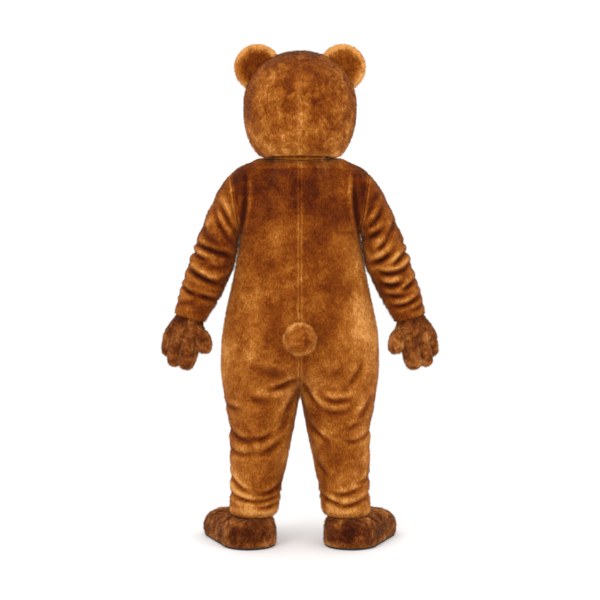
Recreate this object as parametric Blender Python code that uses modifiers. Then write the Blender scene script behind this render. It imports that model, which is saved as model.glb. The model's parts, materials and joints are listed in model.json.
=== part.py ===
"""A bear mascot costume as it stands when worn, with nobody inside: plush suit, head, gloves and boots.

Metres. Heights are above the soles while the pieces are made, and an empty then lowers everything so
that the origin is the neck base, where the wearer's shoulders hold the suit. The bear faces -Y and +X is
its left. Each group of pieces that are sewn together is one smooth surface, cut into its panels; a panel
is that surface thickened inwards, with its edges drawn back a little so that seams stay open.
"""

import math

import bmesh
import bpy
import numpy as np
from mathutils import Vector
from mathutils.bvhtree import BVHTree

# Driving dimensions
HELD = 1.450  # height of the neck base above the soles
CLOTH = 0.003  # plush on its backing
FOAM = 0.012  # plush on the head's stiff foam shell
SEAM = 0.00035  # gap between two panels at a seam
CLEAR = 0.0015  # gap under a piece that lies on another

# The suit's trunk: (height, half width or depth)
UNDERARM = 1.184
CROTCH = 0.589
FORK_TOP = 0.700  # below this the trunk's section turns into the two legs'
TRUNK_WIDTH = [(0.589, 0.289), (0.650, 0.297), (0.720, 0.298), (0.812, 0.291), (0.903, 0.275),
               (1.000, 0.254), (1.100, 0.236), (1.184, 0.226)]
TRUNK_BACK = [(0.589, 0.165), (0.660, 0.183), (0.740, 0.188), (0.850, 0.172), (1.000, 0.150), (1.184, 0.140)]
TRUNK_FRONT = [(0.589, 0.150), (0.660, 0.190), (0.760, 0.222), (0.880, 0.230), (1.000, 0.208), (1.184, 0.158)]
TRUNK_SQUARE = 0.90  # below 1 the section is fuller than an ellipse

# A leg: its outer and inner edge and its depths, up to the crotch
LEG_OUTER = [(0.114, 0.262), (0.150, 0.266), (0.220, 0.263), (0.310, 0.264), (0.446, 0.266),
             (0.515, 0.277), (0.589, 0.289)]
LEG_INNER = [(0.114, 0.093), (0.150, 0.083), (0.220, 0.072), (0.310, 0.053), (0.400, 0.035),
             (0.492, 0.018), (0.540, 0.010), (0.589, 0.0)]
LEG_BACK = [(0.114, 0.088), (0.200, 0.094), (0.310, 0.107), (0.440, 0.130), (0.520, 0.146), (0.589, 0.157)]
LEG_FRONT = [(0.114, 0.088), (0.200, 0.096), (0.310, 0.108), (0.440, 0.128), (0.520, 0.138), (0.589, 0.145)]
HEM_TILT = -0.07  # the hem rises towards the instep

# The yoke, from the underarm up to the neckline and the shoulder seam
NECK_RADIUS = 0.095
NECK_BACK = 1.449
NECK_SIDE = 1.458
NECK_FRONT = 1.436
QUARTER = 7  # faces from the centre seam to the side seam
NECK_SHARE = 3 / QUARTER  # the share of a panel's top edge that is neckline, the rest being shoulder seam
SHOULDER_RIDGE = [(0.0, (0.095, 1.458)), (0.30, (0.150, 1.461)), (0.52, (0.190, 1.449)),
                  (0.78, (0.236, 1.427)), (1.0, (0.262, 1.402))]
COLLAR_RISE = 0.045
ARMHOLE_DEPTH = 0.092

# A sleeve: (share of its length, outer edge (x, height), inner edge, half depth)
SLEEVE = [(0.00, (0.262, 1.402), (0.226, 1.184), 0.092), (0.10, (0.301, 1.350), (0.234, 1.158), 0.095),
          (0.22, (0.333, 1.288), (0.241, 1.124), 0.095), (0.36, (0.363, 1.221), (0.249, 1.084), 0.092),
          (0.50, (0.390, 1.149), (0.259, 1.042), 0.088), (0.64, (0.416, 1.074), (0.276, 0.999), 0.083),
          (0.78, (0.440, 1.004), (0.300, 0.948), 0.077), (0.90, (0.460, 0.939), (0.328, 0.900), 0.069),
          (1.00, (0.474, 0.879), (0.361, 0.847), 0.059)]

# The head
HEAD_HEIGHT = 1.666  # height of its widest level
HEAD_WIDTH = 0.211
HEAD_DEPTH = 0.204
HEAD_CROWN = 0.198
HEAD_JAW = 0.2423  # how far down the lower curve would reach if the neck opening didn't cut it
HEAD_CHEEKS = 2.5  # exponent of the lower curve: above 2 it is fuller than an ellipse
HEAD_TURN_UNDER = 0.150  # radius where the lower curve turns in to the neck opening
HEAD_RIM = 0.118
HEAD_BOTTOM = 1.466

# Ears, face and tail
EAR_AT = (0.160, -0.016, 1.806)
EAR_RADIUS = 0.087
EAR_THICK = 0.027
MUZZLE_AT = (0.0, -0.192, 1.610)
MUZZLE_SIZE = (0.088, 0.078, 0.064)
NOSE_AT = (0.0, -0.264, 1.640)
NOSE_SIZE = (0.034, 0.020, 0.023)
EYE_AT = (0.074, -0.182, 1.704)
EYE_RADIUS = 0.024
TAIL_HEIGHT = 0.796
TAIL_RADIUS = 0.061
TAIL_OUT = 0.040  # from the seat to the tail's centre

# Boots
HEEL_AT = (0.194, 0.030)
HEEL_RADIUS = 0.102
TOE_RADIUS = 0.108
HEEL_TO_TOE = 0.190
SPLAY = math.radians(22)
ANKLE_AT = (0.1775, 0.0)
ANKLE_RADIUS = 0.069
SOLE = 0.008
# (share of the way from the foot's outline to the ankle, height at the heel, how much higher over the toes)
BOOT_PROFILE = [(0.00, 0.0085, 0.0), (-0.03, 0.038, 0.0), (0.02, 0.066, 0.0), (0.11, 0.085, 0.007),
                (0.27, 0.093, 0.022), (0.58, 0.098, 0.016), (1.00, 0.108, 0.0),
                (1.00, 0.165, 0.0)]
TOE_REACH = 0.120  # where the foot's outline is this far from the ankle, the toes' full height is added

# Gloves, in the hand's own frame: across from index to little finger, out from the palm, down the fingers
GLOVE_AT = (0.4175, -0.004, 0.863)
GLOVE_LEAN = math.radians(13)
GLOVE_TURN = math.radians(-32)
# (down, four places across, half thickness)
PALM = [(-0.045, (-0.045, -0.019, 0.019, 0.045), 0.045), (0.004, (-0.045, -0.018, 0.020, 0.045), 0.042),
        (0.028, (-0.055, -0.017, 0.028, 0.060), 0.044), (0.058, (-0.062, -0.012, 0.038, 0.080), 0.046),
        (0.090, (-0.060, -0.005, 0.045, 0.092), 0.040)]
# (middle across, reach, half width, half thickness, how far it lies out from the palm)
FINGERS = [(-0.031, 0.116, 0.0350, 0.039, 0.000), (0.022, 0.118, 0.0315, 0.036, 0.007),
           (0.070, 0.086, 0.0280, 0.033, -0.011)]
THUMB_ROW = 2  # the thumb leaves the palm between this place and the next
# (across, down, degrees away from straight down, half width, half thickness)
THUMB = [(-0.078, 0.058, 50, 0.025, 0.031), (-0.093, 0.086, 15, 0.029, 0.032), (-0.097, 0.118, 0, 0.025, 0.027)]

# How finely the surfaces are divided
YOKE_ROWS = 6
LEG_HEIGHTS = (0.118, 0.150, 0.220, 0.310, 0.400, 0.475, 0.540)
TRUNK_HEIGHTS = (0.589, 0.612, 0.640, 0.670, 0.710, 0.780, 0.870, 0.970, 1.080, 1.184)
HEAD_QUARTER = 6
HEAD_LEVELS = 9
RIM_LEVEL = 0.14  # the part of a head panel's length that turns in to the neck opening
OUTLINE = 22  # points round a boot

COLOURS = {"plush": (0.33, 0.115, 0.018), "dark_plush": (0.18, 0.062, 0.018), "rubber": (0.02, 0.016, 0.013),
           "gloss": (0.012, 0.010, 0.010)}


def start_clean():
    for obj in list(bpy.data.objects):
        bpy.data.objects.remove(obj, do_unlink=True)


def material(name, colour, roughness):
    made = bpy.data.materials.new(name)
    made.use_nodes = True
    shader = made.node_tree.nodes["Principled BSDF"]
    shader.inputs["Base Color"].default_value = (*colour, 1)
    shader.inputs["Roughness"].default_value = roughness
    shader.inputs["Metallic"].default_value = 0
    return made


def through(knots, at):
    """The value at a place on a smooth curve through (place, value) knots."""
    places = [place for place, _ in knots]
    values = np.array([value for _, value in knots], float)
    slopes = np.array([
        (values[min(i + 1, len(knots) - 1)] - values[max(i - 1, 0)])
        / (places[min(i + 1, len(knots) - 1)] - places[max(i - 1, 0)])
        for i in range(len(knots))
    ])
    at = min(max(at, places[0]), places[-1])
    i = max(j for j in range(len(knots) - 1) if places[j] <= at)
    span = places[i + 1] - places[i]
    t = (at - places[i]) / span
    return (
        values[i] * (2 * t**3 - 3 * t**2 + 1)
        + slopes[i] * span * (t**3 - 2 * t**2 + t)
        + values[i + 1] * (3 * t**2 - 2 * t**3)
        + slopes[i + 1] * span * (t**3 - t**2)
    )


def bezier(a, b, c, d, t):
    return a * (1 - t) ** 3 + b * 3 * t * (1 - t) ** 2 + c * 3 * t**2 * (1 - t) + d * t**3


# ---------------------------------------------------------------- the suit's surface


def trunk(height, share, back):
    """A point of the trunk: share runs from the centre seam (0) to the side (1)."""
    angle = share * math.pi / 2
    depth = through(TRUNK_BACK if back else TRUNK_FRONT, height)
    x = through(TRUNK_WIDTH, height) * math.sin(angle) ** TRUNK_SQUARE
    y = depth * math.cos(angle) ** TRUNK_SQUARE if share < 1 else 0.0
    return np.array([x, y if back else -y, height])


def leg(height, share, back):
    """A point of a leg: share runs from the inseam (0) to the side (1)."""
    angle = share * math.pi
    outer = through(LEG_OUTER, height) if height < CROTCH else through(TRUNK_WIDTH, height)
    inner = through(LEG_INNER, height)
    depth = through(LEG_BACK if back else LEG_FRONT, height)
    x = (outer + inner) / 2 - (outer - inner) / 2 * math.cos(angle)
    y = depth * math.sin(angle)
    y = y if back else -y
    tilt = HEM_TILT * y * max(0.0, 1 - (height - LEG_HEIGHTS[0]) / 0.08)
    return np.array([x, y, height + tilt])


def below_arm(height, share, back):
    """Trunk above the fork, leg below the crotch, and a blend of the two between them."""
    fork = min(max((FORK_TOP - height) / (FORK_TOP - CROTCH), 0.0), 1.0) ** 2
    if height < CROTCH:
        return leg(height, share, back)
    return trunk(height, share, back) * (1 - fork) + leg(height, share, back) * fork


def top_edge(share, back):
    """The neckline, then the shoulder seam out to the shoulder point."""
    if share < NECK_SHARE:
        angle = share / NECK_SHARE * math.pi / 2
        low = NECK_BACK if back else NECK_FRONT
        y = NECK_RADIUS * math.cos(angle)
        return np.array([NECK_RADIUS * math.sin(angle), y if back else -y,
                         low + (NECK_SIDE - low) * math.sin(angle) ** 2])
    x, height = through(SHOULDER_RIDGE, (share - NECK_SHARE) / (1 - NECK_SHARE))
    return np.array([x, 0.0, height])


def yoke(rise, share, back):
    """Above the underarm: each line leaves the trunk upwards and meets the top edge from behind or before."""
    out = 1 if back else -1
    start = below_arm(UNDERARM, share, back)
    end = top_edge(share, back)
    bulge = ARMHOLE_DEPTH * 4 / 3
    upward = np.array([0.0, 0.0, 0.100])
    outward = np.array([0.0, out * bulge, 0.0])
    side = share**3
    leave = start + upward * (1 - side) + outward * side
    reach = 0.050 + (bulge - 0.050) * share
    meet = end + np.array([0.0, out * reach, -0.45 * reach * (1 - share)])
    return bezier(start, leave, meet, end, rise)


def sleeve(length, turn):
    """A point of the sleeve: turn runs 0 to 1 up the back from the underarm and 1 to 2 down the front."""
    outer, inner, depth = (through([(knot[0], knot[i]) for knot in SLEEVE], length) for i in (1, 2, 3))
    angle = turn * math.pi
    middle, reach = (outer + inner) / 2, (outer - inner) / 2
    x, height = middle - reach * math.cos(angle)
    ideal = np.array([x, depth * math.sin(angle), height])
    if length >= 0.3:
        return ideal
    hole = yoke(turn, 1, True) if turn <= 1 else yoke(2 - turn, 1, False)
    middle, reach = np.array([0.244, 1.293]), np.array([0.018, 0.109])
    x, height = middle - reach * math.cos(angle)
    drift = hole - np.array([x, ARMHOLE_DEPTH * math.sin(angle), height])
    return ideal + drift * (1 - length / 0.3) ** 2


# ---------------------------------------------------------------- surfaces and panels


class Surface:
    """Grids of points that meet edge to edge, each with the name of the panel it belongs to."""

    def __init__(self):
        self.mesh = bmesh.new()
        self.names = []
        self.tag = self.mesh.faces.layers.int.new("panel")

    def add(self, name, rows):
        if name not in self.names:
            self.names.append(name)
        made = [[self.mesh.verts.new(point) for point in row] for row in rows]
        for low, high in zip(made, made[1:]):
            for i in range(len(low) - 1):
                face = self.mesh.faces.new((low[i], low[i + 1], high[i + 1], high[i]))
                face[self.tag] = self.names.index(name)

    def sew(self):
        """Joins the grids, drops the faces that shrank to nothing and turns every face outwards."""
        bmesh.ops.remove_doubles(self.mesh, verts=self.mesh.verts, dist=1e-5)
        bmesh.ops.dissolve_degenerate(self.mesh, edges=self.mesh.edges, dist=1e-6)
        bmesh.ops.recalc_face_normals(self.mesh, faces=self.mesh.faces)
        centre = sum((v.co for v in self.mesh.verts), Vector()) / len(self.mesh.verts)
        outward = sum(f.normal.dot(f.calc_center_median() - centre) * f.calc_area() for f in self.mesh.faces)
        if outward < 0:
            bmesh.ops.reverse_faces(self.mesh, faces=self.mesh.faces)
        self.mesh.normal_update()
        self.mesh.verts.index_update()

    def panel(self, name, wall):
        """The named panel as a closed mesh: (points, faces)."""
        wanted = self.names.index(name)
        faces = [f for f in self.mesh.faces if f[self.tag] == wanted]
        inset = {}
        rim = []
        for face in faces:
            for loop in face.loops:
                edge = loop.edge
                if sum(f[self.tag] == wanted for f in edge.link_faces) == 1:
                    a, b = loop.vert, loop.link_loop_next.vert
                    rim.append((a, b))
                    inward = face.normal.cross(b.co - a.co).normalized()
                    for v in (a, b):
                        inset.setdefault(v, []).append(inward)
        order = {}
        for face in faces:
            for v in face.verts:
                order.setdefault(v, len(order))
        outer, inner = [], []
        for v in order:
            drawn = Vector()
            if v in inset:
                total = sum(inset[v], Vector())
                drawn = total / max(total.length_squared / len(inset[v]), 0.5) * SEAM / 2
            outer.append(v.co + drawn)
            inner.append(v.co + drawn - v.normal * wall)
        count = len(order)
        closed = [[order[v] for v in face.verts] for face in faces]
        closed += [[order[v] + count for v in reversed(face.verts)] for face in faces]
        for a, b in rim:
            corners = [order[b], order[a], order[a] + count, order[b] + count]
            if a.index > b.index:  # neighbours share a rim, so both split it along the same diagonal
                corners = corners[1:] + corners[:1]
            closed += [corners[:3], [corners[0], corners[2], corners[3]]]
        return outer + inner, closed


def add_object(name, points, faces, look, parent, smooth=True):
    mesh = bpy.data.meshes.new(name)
    mesh.from_pydata([tuple(p) for p in points], [], faces)
    mesh.validate()
    if smooth:
        mesh.shade_smooth()
    mesh.materials.append(look)
    obj = bpy.data.objects.new(name, mesh)
    pieces.objects.link(obj)
    obj.parent = parent
    return obj


def add_panels(surface, wall, look, parent):
    surface.sew()
    for name in surface.names:
        add_object(name, *surface.panel(name, wall), look, parent)


def mirrored(rows, side):
    return [[np.array([point[0] * side, point[1], point[2]]) for point in row] for row in rows]


SIDES = (("left", 1), ("right", -1))


def make_suit(look, parent):
    suit = Surface()
    shares = [i / QUARTER for i in range(QUARTER + 1)]
    for side, way in SIDES:
        for half, back in (("back", True), ("front", False)):
            rows = [[below_arm(h, s, back) for s in shares] for h in LEG_HEIGHTS + TRUNK_HEIGHTS]
            rows += [[yoke(r / YOKE_ROWS, s, back) for s in shares] for r in range(1, YOKE_ROWS + 1)]
            suit.add(f"{half}_{side}", mirrored(rows, way))
            neck = [top_edge(s, back) for s in shares if s <= NECK_SHARE]
            collar = [point * (0.96, 0.96, 0) + (0, 0, NECK_SIDE + COLLAR_RISE) for point in neck]
            suit.add("neck_band", mirrored([neck, collar], way))
        turns = [r / YOKE_ROWS for r in range(2 * YOKE_ROWS + 1)]
        rows = [[sleeve(knot[0], t) for t in turns] for knot in SLEEVE]
        suit.add(f"sleeve_{side}", mirrored(rows, way))
    add_panels(suit, CLOTH, look, parent)
    return suit


# ---------------------------------------------------------------- the head


def head_point(level, around, spare=0.0):
    """level runs from the neck opening (0) to the crown (1); around is the angle from +Y towards +X."""
    power = 2 / HEAD_CHEEKS
    jaw_end = math.acos((HEAD_TURN_UNDER / HEAD_WIDTH) ** (1 / power))
    if level < RIM_LEVEL:
        low = HEAD_HEIGHT - HEAD_JAW * math.sin(jaw_end) ** power
        rim, turned = np.array([HEAD_RIM, HEAD_BOTTOM + 0.003]), np.array([HEAD_TURN_UNDER, low])
        radius, height = bezier(rim, rim + (0.012, -0.006), turned - (0.008, 0.006), turned, level / RIM_LEVEL)
    else:
        t = (level - RIM_LEVEL) / (1 - RIM_LEVEL) * (jaw_end + math.pi / 2) - jaw_end
        if t > 0:
            radius, height = HEAD_WIDTH * math.cos(t), HEAD_HEIGHT + HEAD_CROWN * math.sin(t)
        else:
            radius = HEAD_WIDTH * math.cos(t) ** power
            height = HEAD_HEIGHT - HEAD_JAW * math.sin(-t) ** power
    depth = 1 + (HEAD_DEPTH / HEAD_WIDTH - 1) * min(1.0, max(0.0, (radius - HEAD_RIM) / 0.05))
    radius += spare
    return np.array([radius * math.sin(around), radius * depth * math.cos(around), height])


def make_head(look, parent):
    head = Surface()
    levels = [0.0, RIM_LEVEL / 2] + [RIM_LEVEL + (1 - RIM_LEVEL) * i / HEAD_LEVELS for i in range(HEAD_LEVELS + 1)]
    for side, way in SIDES:
        for half, first in (("back", 0), ("front", 1)):
            angles = [(first + i / HEAD_QUARTER) * math.pi / 2 for i in range(HEAD_QUARTER + 1)]
            rows = [[head_point(level, a) for a in angles] for level in levels]
            head.add(f"head_{half}_{side}", mirrored(rows, way))
    add_panels(head, FOAM, look, parent)


def head_cutter(parent):
    """The head's form without its opening, a little larger all over."""
    steps = 32
    around = [i / steps * math.tau for i in range(steps)]
    levels = [0.0, RIM_LEVEL / 2] + [RIM_LEVEL + (1 - RIM_LEVEL) * i / 24 for i in range(24)]
    points = [head_point(level, a, CLEAR) for level in levels for a in around]
    count = len(levels)
    faces = [[i * steps + j, i * steps + (j + 1) % steps, (i + 1) * steps + (j + 1) % steps, (i + 1) * steps + j]
             for i in range(count - 1) for j in range(steps)]
    points.append(np.array([0.0, 0.0, HEAD_HEIGHT + HEAD_CROWN + CLEAR]))
    faces += [[(count - 1) * steps + j, (count - 1) * steps + (j + 1) % steps, len(points) - 1]
              for j in range(steps)]
    faces.append(list(range(steps)))
    mesh = bpy.data.meshes.new("head_form")
    mesh.from_pydata([tuple(p) for p in points], [], faces)
    build = bmesh.new()
    build.from_mesh(mesh)
    bmesh.ops.recalc_face_normals(build, faces=build.faces)
    build.to_mesh(mesh)
    build.free()
    obj = bpy.data.objects.new("head_form", mesh)
    cutters.objects.link(obj)
    obj.parent = parent
    obj.hide_render = True
    obj.display_type = "WIRE"
    return obj


def add_ball(name, size, at, look, parent, seats, collection, segments=20, rings=12):
    """A padded or moulded ellipsoid with the forms it sits on cut away from it."""
    mesh = bpy.data.meshes.new(name)
    build = bmesh.new()
    bmesh.ops.create_uvsphere(build, u_segments=segments, v_segments=rings, radius=1)
    bmesh.ops.scale(build, vec=size, verts=build.verts)
    build.to_mesh(mesh)
    build.free()
    mesh.shade_smooth()
    mesh.materials.append(look)
    obj = bpy.data.objects.new(name, mesh)
    collection.objects.link(obj)
    obj.parent = parent
    obj.location = at
    for seat in seats:
        cut = obj.modifiers.new(f"seat on {seat.name}", "BOOLEAN")
        cut.object = seat
        cut.operation = "DIFFERENCE"
    return obj


def make_face(look, gloss_look, parent, seat):
    add_ball("muzzle", MUZZLE_SIZE, MUZZLE_AT, look, parent, [seat], pieces, 18, 11)
    larger = [size + CLEAR for size in MUZZLE_SIZE]
    muzzle_form = add_ball("muzzle_form", larger, MUZZLE_AT, look, parent, [], cutters, 48, 28)
    muzzle_form.hide_render = True
    muzzle_form.display_type = "WIRE"
    add_ball("nose", NOSE_SIZE, NOSE_AT, gloss_look, parent, [muzzle_form], pieces, 16, 10)
    for side, way in SIDES:
        at = (way * EYE_AT[0], EYE_AT[1], EYE_AT[2])
        add_ball(f"eye_{side}", (EYE_RADIUS, EYE_RADIUS, EYE_RADIUS), at, gloss_look, parent, [seat], pieces, 16, 10)


def make_ears(look, parent, seat):
    """Each ear is two dished halves of a disc, sewn round the rim."""
    steps = 20
    dish = [(1.0, 0.0), (0.97, 0.55), (0.88, 0.92), (0.72, 1.0), (0.36, 0.76)]
    for side, way in SIDES:
        for half, out in (("back", 1), ("front", -1)):
            gap = out * SEAM / 2
            points = []
            for share, bulge in dish:
                for j in range(steps):
                    a = j / steps * math.tau
                    points.append((way * EAR_AT[0] + share * EAR_RADIUS * math.cos(a),
                                   EAR_AT[1] + gap + out * bulge * EAR_THICK,
                                   EAR_AT[2] + share * EAR_RADIUS * math.sin(a)))
            points.append((way * EAR_AT[0], EAR_AT[1] + gap + out * 0.68 * EAR_THICK, EAR_AT[2]))
            faces = [[i * steps + j, i * steps + (j + 1) % steps, (i + 1) * steps + (j + 1) % steps,
                      (i + 1) * steps + j] for i in range(len(dish) - 1) for j in range(steps)]
            last = (len(dish) - 1) * steps
            faces += [[last + j, last + (j + 1) % steps, len(points) - 1] for j in range(steps)]
            faces.append(list(range(steps))[::-1])
            if out > 0:
                faces = [face[::-1] for face in faces]
            ear = add_object(f"ear_{half}_{side}", points, faces, look, parent)
            cut = ear.modifiers.new("seat on head", "BOOLEAN")
            cut.object = seat
            cut.operation = "DIFFERENCE"


def make_tail(look, parent, suit):
    """A stuffed ball, pressed against the seat: its near side takes the seat's own form."""
    build = bmesh.new()
    bmesh.ops.create_uvsphere(build, u_segments=16, v_segments=11, radius=TAIL_RADIUS)
    seat = BVHTree.FromBMesh(suit.mesh)
    centre = Vector((0, through(TRUNK_BACK, TAIL_HEIGHT) + TAIL_OUT, TAIL_HEIGHT))
    for v in build.verts:
        v.co += centre
        hit = seat.ray_cast(Vector((v.co.x, 1.0, v.co.z)), Vector((0, -1, 0)))[0]
        v.co.y = max(v.co.y, hit.y + 2 * CLEAR)
    points = [v.co.copy() for v in build.verts]
    faces = [[v.index for v in face.verts] for face in build.faces]
    build.free()
    add_object("tail", points, faces, look, parent)


# ---------------------------------------------------------------- boots and gloves


def foot_outline(spare=0.0):
    """Points round the foot: two circles and their common tangents, evenly spaced from the heel."""
    ahead = np.array([math.sin(SPLAY), -math.cos(SPLAY)])
    across = np.array([-ahead[1], ahead[0]])
    heel = np.array(HEEL_AT)
    toe = heel + ahead * HEEL_TO_TOE
    lean = math.asin((TOE_RADIUS - HEEL_RADIUS) / HEEL_TO_TOE)
    fine = []
    for centre, radius, start, end in (
        (heel, HEEL_RADIUS, -math.pi, -math.pi / 2 + lean),
        (toe, TOE_RADIUS, -math.pi / 2 + lean, math.pi / 2 - lean),
        (heel, HEEL_RADIUS, math.pi / 2 - lean, math.pi),
    ):
        for a in np.linspace(start, end, 40):
            fine.append(centre + (radius + spare) * (ahead * math.cos(a) + across * math.sin(a)))
    fine = np.array(fine)
    run = np.concatenate([[0], np.cumsum(np.linalg.norm(np.diff(fine, axis=0), axis=1))])
    at = np.linspace(0, run[-1], OUTLINE + 1)[:-1]
    return np.stack([np.interp(at, run, fine[:, 0]), np.interp(at, run, fine[:, 1])], axis=1)


def make_boots(look, sole_look, parent):
    outline = foot_outline()
    heel_angle = math.atan2(outline[0][1] - ANKLE_AT[1], outline[0][0] - ANKLE_AT[0])
    ring = [np.array(ANKLE_AT) + ANKLE_RADIUS * np.array([math.cos(a), math.sin(a)])
            for a in (heel_angle - i / OUTLINE * math.tau for i in range(OUTLINE))]
    clockwise = np.cross(outline[1] - outline[0], outline[2] - outline[1]) < 0
    if not clockwise:
        ring = [ring[0]] + ring[:0:-1]
    quarter = round(OUTLINE * 0.23)  # where the side seams run, counted from the heel
    for side, way in SIDES:
        boot = Surface()
        toes = [min(np.linalg.norm(outline[i] - ring[i]) / TOE_REACH, 1.0) ** 2 for i in range(OUTLINE)]
        rows = [[np.array([*(outline[i] * (1 - s) + ring[i] * s), height + toes[i] * extra])
                 for i in range(OUTLINE)] for s, height, extra in BOOT_PROFILE]
        heel_part = [[row[i % OUTLINE] for i in range(-quarter, quarter + 1)] for row in rows]
        toe_part = [[row[i % OUTLINE] for i in range(quarter, OUTLINE - quarter + 1)] for row in rows]
        boot.add(f"boot_quarter_{side}", mirrored(heel_part, way))
        boot.add(f"boot_vamp_{side}", mirrored(toe_part, way))
        add_panels(boot, CLOTH, look, parent)
        edge = foot_outline(-0.001)
        points = [(way * x, y, height) for height in (0.0, SOLE) for x, y in edge]
        faces = [list(range(OUTLINE)), [i + OUTLINE for i in reversed(range(OUTLINE))]]
        faces += [[(i + 1) % OUTLINE, i, i + OUTLINE, (i + 1) % OUTLINE + OUTLINE] for i in range(OUTLINE)]
        if clockwise == (way < 0):
            faces = [face[::-1] for face in faces]
        add_object(f"boot_sole_{side}", points, faces, sole_look, parent, smooth=False)


def glove_cage():
    """The mitt with its fingers as a coarse cage; across, out and down in the hand's own frame."""
    build = bmesh.new()
    rings = []
    for down, places, thick in PALM:
        front = [build.verts.new((u, -thick * (0.80 if i in (0, 3) else 1), down)) for i, u in enumerate(places)]
        back = [build.verts.new((u, thick * (0.80 if i in (0, 3) else 1), down)) for i, u in enumerate(places)]
        rings.append((front, back))
    thumb_face = None
    for row, ((f0, b0), (f1, b1)) in enumerate(zip(rings, rings[1:])):
        for i in range(3):
            build.faces.new((f0[i], f0[i + 1], f1[i + 1], f1[i]))
            build.faces.new((b0[i + 1], b0[i], b1[i], b1[i + 1]))
        side = (b0[0], f0[0], f1[0], b1[0])
        if row == THUMB_ROW:
            thumb_face = side
        else:
            build.faces.new(side)
        build.faces.new((f0[3], b0[3], b1[3], f1[3]))
    front, back = rings[-1]
    for i, (middle, reach, wide, thick, lift) in enumerate(FINGERS):
        ring = (front[i], front[i + 1], back[i + 1], back[i])
        base = front[i].co.z
        for share, full in ((0.30, 0.95), (0.95, 0.94)):
            new = tuple(build.verts.new((middle + a * wide * full, lift * min(1, share * 2) + b * thick * full,
                                         base + reach * share))
                        for a, b in ((-0.93, -1), (0.93, -1), (0.93, 1), (-0.93, 1)))
            for j in range(4):
                build.faces.new((ring[j], ring[(j + 1) % 4], new[(j + 1) % 4], new[j]))
            ring = new
        build.faces.new(ring)
    ring = thumb_face
    for across, down, away, wide, thick in THUMB:
        step = (-math.cos(math.radians(away)) * wide, -math.sin(math.radians(away)) * wide)
        new = tuple(build.verts.new((across + way * step[0], b * thick, down + way * step[1]))
                    for way, b in ((1, 1), (1, -1), (-1, -1), (-1, 1)))
        for j in range(4):
            build.faces.new((ring[j], ring[(j + 1) % 4], new[(j + 1) % 4], new[j]))
        ring = new
    build.faces.new(ring)
    return build


def make_gloves(look, parent):
    cage = bpy.data.meshes.new("glove cage")
    build = glove_cage()
    build.to_mesh(cage)
    build.free()
    helper = bpy.data.objects.new("glove cage", cage)
    cutters.objects.link(helper)
    smooth = helper.modifiers.new("smooth", "SUBSURF")
    smooth.levels = smooth.render_levels = 1
    fine = bpy.data.meshes.new_from_object(helper.evaluated_get(bpy.context.evaluated_depsgraph_get()))
    bpy.data.objects.remove(helper)
    turn, lean = (math.cos(GLOVE_TURN), math.sin(GLOVE_TURN)), (math.cos(GLOVE_LEAN), math.sin(GLOVE_LEAN))
    for side, way in SIDES:
        glove = Surface()
        glove.names = [f"glove_palm_{side}", f"glove_back_{side}"]
        glove.mesh.from_mesh(fine)
        glove.tag = glove.mesh.faces.layers.int.new("panel")
        for face in glove.mesh.faces:
            face[glove.tag] = int(face.calc_center_median().y > 0)
        for v in glove.mesh.verts:
            u, out, down = v.co
            u, out = u * turn[0] - out * turn[1], u * turn[1] + out * turn[0]
            x = u * lean[0] + down * lean[1]
            z = u * lean[1] - down * lean[0]
            v.co = Vector((way * (GLOVE_AT[0] + x), GLOVE_AT[1] + out, GLOVE_AT[2] + z))
        add_panels(glove, CLOTH, look, parent)


# ---------------------------------------------------------------- the whole costume

start_clean()
pieces = bpy.data.collections.new("bear_mascot_costume")
cutters = bpy.data.collections.new("cutters")
for collection in (pieces, cutters):
    bpy.context.scene.collection.children.link(collection)
cutters.hide_render = True
mascot = bpy.data.objects.new("mascot", None)
mascot.location = (0, 0, -HELD)
head_axis = bpy.data.objects.new("head_axis", None)
head_axis.parent = mascot
for empty in (mascot, head_axis):
    pieces.objects.link(empty)
plush = material("tan plush", COLOURS["plush"], 0.9)
dark_plush = material("dark plush", COLOURS["dark_plush"], 0.9)
rubber = material("sole rubber", COLOURS["rubber"], 0.7)
gloss = material("moulded black", COLOURS["gloss"], 0.15)

the_suit = make_suit(plush, mascot)
make_head(plush, head_axis)
head_form = head_cutter(head_axis)
make_face(plush, gloss, head_axis, head_form)
make_ears(plush, head_axis, head_form)
make_tail(plush, mascot, the_suit)
make_boots(dark_plush, rubber, mascot)
make_gloves(dark_plush, mascot)
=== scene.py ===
"""The looks of a bear mascot costume: a plush suit with sleeves, gloves, boots, tail and a foam-shelled head.

Metres, +Z up; the bear faces -Y and +X is its left. Heights in the tables are above the soles, and each
piece is lowered by HELD, because the frame's origin is the neck base, where the wearer holds the suit.
"""
import json
import math

import bmesh
import bpy
import numpy as np
from mathutils import Euler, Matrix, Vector, noise
from mathutils.bvhtree import BVHTree
from mathutils.kdtree import KDTree

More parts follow.
